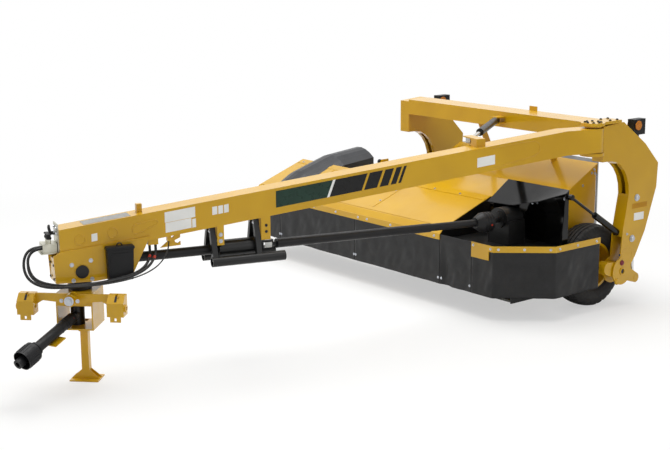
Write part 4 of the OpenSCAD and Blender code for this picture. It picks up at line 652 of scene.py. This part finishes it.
# Tractor shaft's guard: rings by place, radius and width, places from either end, ribs on its cone
# and a red spot; the ends are those of the source
shaft = {"from": (131, -22, 520), "to": (600, -232, 345), "ringSides": 48, "ringEdge": 2.0, "sharp": 1.0,
         "rings": ((72, 42.5, 12), (96, 41, 8), (140, 40, 6), (-126, 60, 12), (-150, 50, 16)),
         "ribs": 20, "rib": (5, 9, 96), "ribCircle": 72, "ribsAt": -58, "ribEdge": 1.5,
         "spotAt": 40, "spotOut": 34, "spotUp": 20, "spotLean": 0.6, "spot": (6.0, 5.0)}
shaftFrom, shaftTo = onHitch(*shaft["from"]), onHitch(*shaft["to"])
shaftAhead = (shaftTo - shaftFrom).normalized()


# Place on the shaft, from its rear end or, below zero, from its front end
def onShaft(along):
    return (shaftFrom if along > 0 else shaftTo) + shaftAhead * along * mm


def shaftRings(shape):
    for at, r, width in shaft["rings"]:
        made = bmesh.ops.create_cone(shape, cap_ends=True, segments=shaft["ringSides"], radius1=r * mm,
                                     radius2=r * mm, depth=width * mm)
        bmesh.ops.transform(shape, matrix=Matrix.Translation(onShaft(at)) @ facing(shaftAhead),
                            verts=made["verts"])
    rims = [e for e in shape.edges if len(e.link_faces) == 2 and e.calc_face_angle() > shaft["sharp"]]
    bmesh.ops.bevel(shape, geom=rims, offset=shaft["ringEdge"] * mm, segments=2, affect="EDGES")


def shaftRibs(shape):
    stand = Matrix.Translation(onShaft(shaft["ribsAt"])) @ facing(shaftAhead)
    for angle in roundAngles(shaft["ribs"]):
        made = bmesh.ops.create_cube(shape, size=1.0)
        bmesh.ops.scale(shape, vec=Vector(shaft["rib"]) * mm, verts=made["verts"])
        bmesh.ops.translate(shape, vec=(shaft["ribCircle"] * mm, 0, 0), verts=made["verts"])
        bmesh.ops.transform(shape, matrix=stand @ Matrix.Rotation(math.radians(angle), 4, "Z"),
                            verts=made["verts"])
    bmesh.ops.bevel(shape, geom=list(shape.edges), offset=shaft["ribEdge"] * mm, segments=2, affect="EDGES")


newObject("shaftGuardRings", meshOf("shaftGuardRings", shaftRings), "hitch", blackPlastic)
newObject("shaftConeRibs", meshOf("shaftConeRibs", shaftRibs), "hitch", blackPlastic)
redSpot = onShaft(shaft["spotAt"]) + (hitchLeft * shaft["spotOut"] + up * shaft["spotUp"]) * mm
boltSet("shaftRedSpot", "hitch", redTape, [(redSpot, hitchLeft + up * shaft["spotLean"])], shaft["spot"])
print("stage: tongue and hitch dressed")

# Raised bands and bolts on the deck: its slope's front and back, bands along it as shares of the slope
deck = {"frontY": -1000.0, "frontZ": 700.0, "backY": -437.0, "backZ": 905.0, "right": -2455, "left": 246,
        "bands": ((0.02, 0.1), (0.86, 0.93)), "cross": (-775.0, -1870.0), "crossHalf": 30, "thick": 3.0,
        "edge": 1.2, "boltRow": range(-2380, 240, 330), "rowShare": 0.9, "crossShares": (0.3, 0.65),
        "bolt": (8.0, 7.0)}
deckRun = Vector((0.0, deck["backY"] - deck["frontY"], deck["backZ"] - deck["frontZ"]))
deckUp = Vector((0.0, -deckRun.z, deckRun.y)).normalized()


def onDeck(x, share):
    return place(x, deck["frontY"], deck["frontZ"]) + deckRun * share * mm


def deckBand(right, left, low, high):
    return [onDeck(right, low), onDeck(left, low), onDeck(left, high), onDeck(right, high)]


bands = [deckBand(deck["right"], deck["left"], low, high) for low, high in deck["bands"]]
crossLow, crossHigh = deck["bands"][0][1], deck["bands"][1][0]
bands += [deckBand(x - deck["crossHalf"], x + deck["crossHalf"], crossLow, crossHigh)
          for x in deck["cross"]]
plateSet("deckBands", "carrier", yellowPaint, bands, deckUp * deck["thick"] * mm, deck["edge"])
spots = [(x, deck["rowShare"]) for x in deck["boltRow"]]
spots += [(x, share) for x in deck["cross"] for share in deck["crossShares"]]
rows = [(onDeck(x, share) + deckUp * deck["thick"] * mm, deckUp) for x, share in spots]
boltSet("deckBolts", "carrier", zincBolt, rows, deck["bolt"])

# Small parts on the legs' outer faces: places across and up, and profiles of radius and height
legFace = {"x": 1263.0, "boltAt": (208, 639), "bolt": (8.0, 8.0), "ring": (215, 458, 66), "bead": 1.8,
           "gap": 0.1, "skin": 0.6}
legTurned = {
    "legPins": (zincBolt, ((318, 945), (275, 591)), [(31, 0), (31, 4), (23, 4.2), (23, 15), (19, 18)]),
    "legPlugs": (maroonRubber, ((152, 393),), [(23, 0), (23, 5), (19, 11), (11, 14)]),
    "legEyes": (yellowPaint, ((161, 318),), [(33, 0), (33, 7), (30, 9), (22, 9), (21, 2)]),
    # Painted shade: a black disc lying in the eye's recess
    "legEyePaintedShades": (blackFilmAndPaintedShade, ((161, 318),), [(20.5, 2.1), (20, 2.6)]),
    "legBosses": (yellowPaint, ((95, 235),), [(28, 0), (26, 8), (17, 11)]),
    # Painted shade: a black disc where a hole would be
    "legHolePaintedShades": (blackFilmAndPaintedShade, ((118, 466),), [(12, 0.1), (11.5, 0.7)]),
}
legFilms = {"legPlate": (whiteVinyl, ((291, 745), (423, 745), (423, 811), (291, 811))),
            "legPatch": (fadedPaint, ((262, 852), (463, 852), (463, 896), (262, 896)))}


def onLegs(spots):
    return [(place(way * legFace["x"], *spot), (way, 0, 0)) for way in bothSides for spot in spots]


for name, (finish, spots, profile) in legTurned.items():
    turnedSet(name, "carrier", finish, onLegs(spots), profile)
boltSet("legBolts", "carrier", zincBolt, onLegs([legFace["boltAt"]]), legFace["bolt"])
legRing = arcPoints(*legFace["ring"], range(0, 360, 10))
barAlong("legPressedRing", "carrier", yellowPaint, [place(legFace["x"], *p) for p in legRing],
         legFace["bead"], True)
for name, (finish, corners) in legFilms.items():
    plateSet(name, "carrier", finish, [[place(legFace["x"] + legFace["gap"], *p) for p in corners]],
             Vector((legFace["skin"] * mm, 0, 0)))

# Rings round the lamps' lenses, on the faces of both lamps
lens = {"circle": (321.0, 1567.0, 41.5), "faces": (1243.0, 1167.0), "bead": 4.0}
for number, x in enumerate([way * face for way in bothSides for face in lens["faces"]]):
    ring = [place(x, *p) for p in arcPoints(*lens["circle"], range(0, 360, 10))]
    barAlong("lampBezel%d" % (number + 1), "carrier", blackPlastic, ring, lens["bead"], True)

# Wheels: ribbed tyres with notched shoulders, wheel nuts and hub caps; points are side and radius
wheel = {"x": 1011.5, "z": 359.5, "radius": 359.0, "crown": 12.0, "half": 92.0, "shoulder": 346.0,
         "wall": [(-66, 192), (-76, 203), (-94, 226), (-106, 258), (-111, 290), (-107, 316), (-99, 334)],
         "grooves": (-54, -18, 18, 54), "groove": 5.0, "floor": 3.5, "depth": 9.0, "sides": 120,
         "notch": 6.0, "notchEvery": 4, "notchFrom": 330.0, "nuts": 8, "nutCircle": 90.0,
         "nut": (11.0, 12.0), "disc": 6.0, "hub": 65.0,
         "cap": [(56, 0), (56, 5), (50, 9), (38, 18), (20, 21)]}


# Outline of the tyre's section from bead to bead, over its grooved crown
def tyreOutline():
    crest = [(-wheel["half"], wheel["shoulder"])]
    for g in wheel["grooves"]:
        for x, deep in ((g - wheel["groove"], 0), (g - wheel["floor"], 1), (g + wheel["floor"], 1),
                        (g + wheel["groove"], 0)):
            r = wheel["radius"] - wheel["crown"] * (x / wheel["half"]) ** 2
            crest.append((x, r - deep * wheel["depth"]))
    crest.append((wheel["half"], wheel["shoulder"]))
    return wheel["wall"] + crest + [(-x, r) for x, r in reversed(wheel["wall"])]


def tyreMesh(name, centre):
    outline = tyreOutline()
    count = len(outline)

    def build(shape):
        rings = []
        for k, (u, v) in enumerate(arcPoints(0.0, 0.0, 1.0, roundAngles(wheel["sides"]))):
            ring = []
            for x, r in outline:
                if abs(x) >= wheel["half"] and r > wheel["notchFrom"] and k % wheel["notchEvery"] == 0:
                    r -= wheel["notch"]
                ring.append(shape.verts.new(centre + Vector((x, r * u, r * v)) * mm))
            rings.append(ring)
        for one, two in zip(rings, rings[1:] + rings[:1]):
            for i in range(count):
                shape.faces.new((one[i], one[(i + 1) % count], two[(i + 1) % count], two[i]))
        bmesh.ops.recalc_face_normals(shape, faces=shape.faces)
    return meshOf(name, build)


for label, side in (("left", 1), ("right", -1)):
    body = label + "_wheel"
    name = label + "RibbedTyre"
    centre = place(side * wheel["x"], 0.0, wheel["z"])
    tyre = newObject(name, tyreMesh(name, centre), body, tyreRubber)
    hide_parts(label + "_tyre")
    rows = [(place(side * wheel["x"] + way * wheel["disc"], y, z), (way, 0, 0))
            for y, z in arcPoints(0.0, wheel["z"], wheel["nutCircle"], roundAngles(wheel["nuts"]))
            for way in bothSides]
    boltSet(label + "WheelNuts", body, zincBolt, rows, wheel["nut"])
    turnedSet(label + "HubCap", body, bareSteel,
              [(place(side * (wheel["x"] - wheel["hub"]), 0.0, wheel["z"]), (-side, 0, 0))], wheel["cap"])

# Rings and a red spot on the driveline's bell; the line's ends are those of the source
bell = {"from": (2860, 0, 888), "to": (692, -910, 808), "end": 2124.0, "radius": 82.0,
        "rings": (15, 43, 71), "sides": 48, "bead": [(0.0, 0), (3.5, 2), (3.5, 7), (0.0, 9)],
        "spotBack": 46, "spotOut": (83, 0, -12), "spotFacing": (1, 0, -0.15), "spot": (7.0, 4.0)}
lineFrom, lineTo = onTongue(*bell["from"]), place(*bell["to"])
lineAhead = (lineTo - lineFrom).normalized()
for number, back in enumerate(bell["rings"]):
    turnedSet("bellRing%d" % (number + 1), "driveline_inner", blackPlastic,
              [(lineFrom + lineAhead * (bell["end"] - back) * mm, lineAhead)],
              [(bell["radius"] + out, h) for out, h in bell["bead"]], bell["sides"])
redSpot = lineFrom + lineAhead * (bell["end"] - bell["spotBack"]) * mm + Vector(bell["spotOut"]) * mm
boltSet("bellRedSpot", "driveline_inner", redTape, [(redSpot, bell["spotFacing"])], bell["spot"])

# Blank band round the front guard: its ends along the tongue, its radius and the arc it covers
band = {"fore": 2906, "aft": 2850, "z": 888, "radius": 36.3, "thicker": 1.02, "start": -80, "sweep": 200,
        "points": 24}


def bandShape(shape):
    angles = [band["start"] + band["sweep"] * k / (band["points"] - 1) for k in range(band["points"])]
    arc = [(tongueLeft * u + up * v) * mm for u, v in arcPoints(0.0, 0.0, band["radius"], angles)]
    ends = [[shape.verts.new(onTongue(s, 0, band["z"]) + q * lift) for q in arc]
            for s, lift in ((band["fore"], 1.0), (band["fore"], band["thicker"]),
                            (band["aft"], band["thicker"]), (band["aft"], 1.0))]
    for low, high in zip(ends, ends[1:] + ends[:1]):
        for k in range(len(arc) - 1):
            shape.faces.new((low[k], low[k + 1], high[k + 1], high[k]))
    for k in (0, -1):
        shape.faces.new([row[k] for row in ends])
    bmesh.ops.recalc_face_normals(shape, faces=shape.faces)


newObject("guardBand", meshOf("guardBand", bandShape), "tongue", whiteVinyl)

# Hook plate under the tongue that carries the hoses: outline along the tongue and up
hook = {"y": 36, "thick": 9, "edge": 1.5, "outline": [
    (3716, 949), (3561, 956), (3562, 987), (3582, 973), (3603, 981), (3606, 996), (3564, 1012),
    (3563, 1036), (3596, 1040), (3649, 1000)]}
plateSet("hoseHook", "tongue", yellowPaint, [sideLine(hook["outline"], hook["y"])],
         tongueLeft * hook["thick"] * mm, hook["edge"])

# Bolts at the cradle legs' tops, a little under the tongue
cradle = {"s": (3341.2, 3000.2), "y": (-44, 44), "under": 34, "bolt": (9.0, 8.0)}
rows = [(onTongue(s, y, tongueTop(s) - tongue["height"] - cradle["under"]), tongueAhead)
        for s in cradle["s"] for y in cradle["y"]]
boltSet("cradleBolts", "tongue", zincBolt, rows, cradle["bolt"])

# Small bolts on the drive shield's front and on the hood's end
shield = {"y": -456, "spots": ((768, 918), (822, 930), (1125, 1009)), "bolt": (8.0, 6.0)}
rows = [(place(x, shield["y"], z), (0, -1, 0)) for x, z in shield["spots"]]
boltSet("shieldBolts", "carrier", zincBolt, rows, shield["bolt"])
hoodEnd = {"x": 860, "spots": ((231, 1146), (200, 1120), (240, 1112), (86, 1020)), "bolt": (9.0, 7.0)}
rows = [(place(hoodEnd["x"], y, z), (1, 0, 0)) for y, z in hoodEnd["spots"]]
boltSet("hoodEndBolts", "carrier", zincBolt, rows, hoodEnd["bolt"])

# Bolts beside the hitch bar's pin, and latches in the link boxes' sloped faces beside slots drawn as
# painted shade
bar = {"x": 247, "y": (-58, 58), "z": 674, "bolt": (10.0, 9.0)}
rows = [(onHitch(bar["x"], y, bar["z"]), hitchAhead) for y in bar["y"]]
boltSet("barBolts", "hitch_bar", zincBolt, rows, bar["bolt"])
link = {"y": 322.5, "gap": 0.2, "slotShadeSkin": 0.6, "latchRise": 9, "latchEdge": 2.0,
        "slot": ((207, -8, 702), (207, 8, 702), (239, 8, 670), (239, -8, 670)),
        "latch": ((203, 10, 706), (203, 20, 706), (215, 20, 694), (215, 10, 694))}
slotUp = (hitchAhead + up).normalized()


def onLinks(corners):
    return [[onHitch(x, way * link["y"] + y, z) + slotUp * link["gap"] * mm for x, y, z in corners]
            for way in bothSides]


# Painted shade: the slots are not cut, and a thin black film on the face stands for their dark inside
plateSet("linkSlotPaintedShades", "hitch_bar", blackFilmAndPaintedShade, onLinks(link["slot"]), slotUp * link["slotShadeSkin"] * mm)
plateSet("linkLatches", "hitch_bar", yellowPaint, onLinks(link["latch"]), slotUp * link["latchRise"] * mm,
         link["latchEdge"])
print("stage: small parts set")

# Floor, backdrop and soft studio light; near and far bound the fade of the floor, in metres
studioFacts = {"sky": 0.44, "floor": 60.0, "near": 3.2, "far": 7.0, "lift": 0.5, "lamps": {
    "topLight": {"at": (-0.5, 0.5, 8.5), "size": (8.0, 9.0), "power": 830.0, "aim": (0.0, 0.0, 0.6)},
    "sideLight": {"at": (9.0, 2.0, 4.5), "size": (5.0, 4.0), "power": 60.0, "aim": (0.5, 0.0, 0.8)},
    "frontLight": {"at": (-3.0, -11.0, 4.0), "size": (6.0, 4.0), "power": 50.0, "aim": (0.0, -1.0, 0.8)}}}
white = grey(1.0)


# White where it is seen or mirrored, and a dimmer light on everything else
def backdrop():
    world = bpy.data.worlds.new("studio")
    bpy.context.scene.world = world
    world.use_nodes = True
    tree = world.node_tree
    tree.nodes.clear()
    out = addNode(tree, "ShaderNodeOutputWorld", {}, {})
    rays = addNode(tree, "ShaderNodeLightPath", {}, {}).outputs
    seen = rays["Is Camera Ray"]
    for way in ("Is Glossy Ray", "Is Transmission Ray"):
        either = addNode(tree, "ShaderNodeMath", {0: seen, 1: rays[way]}, {"operation": "MAXIMUM"})
        seen = either.outputs["Value"]
    dim = addNode(tree, "ShaderNodeBackground", {}, {"Color": white, "Strength": studioFacts["sky"]})
    full = addNode(tree, "ShaderNodeBackground", {}, {"Color": white, "Strength": 1.0})
    addNode(tree, "ShaderNodeMixShader", {"Fac": seen, 1: dim.outputs[0], 2: full.outputs[0]}, {},
            out.inputs["Surface"])


# Pale floor that fades into the backdrop for the camera
def layFloor():
    def plane(shape):
        bmesh.ops.create_grid(shape, x_segments=2, y_segments=2, size=studioFacts["floor"])

    floor = bpy.data.objects.new("floor", meshOf("floor", plane))
    bpy.context.scene.collection.objects.link(floor)
    made, tree, shader = newMaterial("paleFloor", {"Base Color": (0.9, 0.9, 0.89, 1.0), "Roughness": 0.9,
                                                   "Specular IOR Level": 0.1})
    where = addNode(tree, "ShaderNodeTexCoord", {}, {}).outputs["Object"]
    away = addNode(tree, "ShaderNodeVectorMath", {0: where}, {"operation": "LENGTH"}).outputs["Value"]
    fade = addNode(tree, "ShaderNodeMapRange", {"Value": away}, {
        "interpolation_type": "SMOOTHSTEP", "From Min": studioFacts["near"], "From Max": studioFacts["far"],
        "To Min": studioFacts["lift"], "To Max": 1.0}).outputs["Result"]
    rays = addNode(tree, "ShaderNodeLightPath", {}, {}).outputs
    share = addNode(tree, "ShaderNodeMath", {0: rays["Is Camera Ray"], 1: fade}, {"operation": "MULTIPLY"})
    glow = addNode(tree, "ShaderNodeEmission", {}, {"Color": white, "Strength": 1.0})
    addNode(tree, "ShaderNodeMixShader",
            {"Fac": share.outputs[0], 1: shader.outputs[0], 2: glow.outputs[0]}, {},
            tree.nodes["Material Output"].inputs["Surface"])
    floor.data.materials.append(made)


def hangLamps():
    for name, facts in studioFacts["lamps"].items():
        light = bpy.data.lights.new(name, "AREA")
        light.shape = "RECTANGLE"
        light.size, light.size_y = facts["size"]
        light.energy = facts["power"]
        lamp = bpy.data.objects.new(name, light)
        lamp.location = facts["at"]
        aim = Vector(facts["aim"]) - Vector(facts["at"])
        lamp.rotation_euler = aim.to_track_quat("-Z", "Y").to_euler()
        bpy.context.scene.collection.objects.link(lamp)


backdrop()
layFloor()
hangLamps()
bpy.context.scene.view_settings.view_transform = "Standard"
print("stage: studio lit")
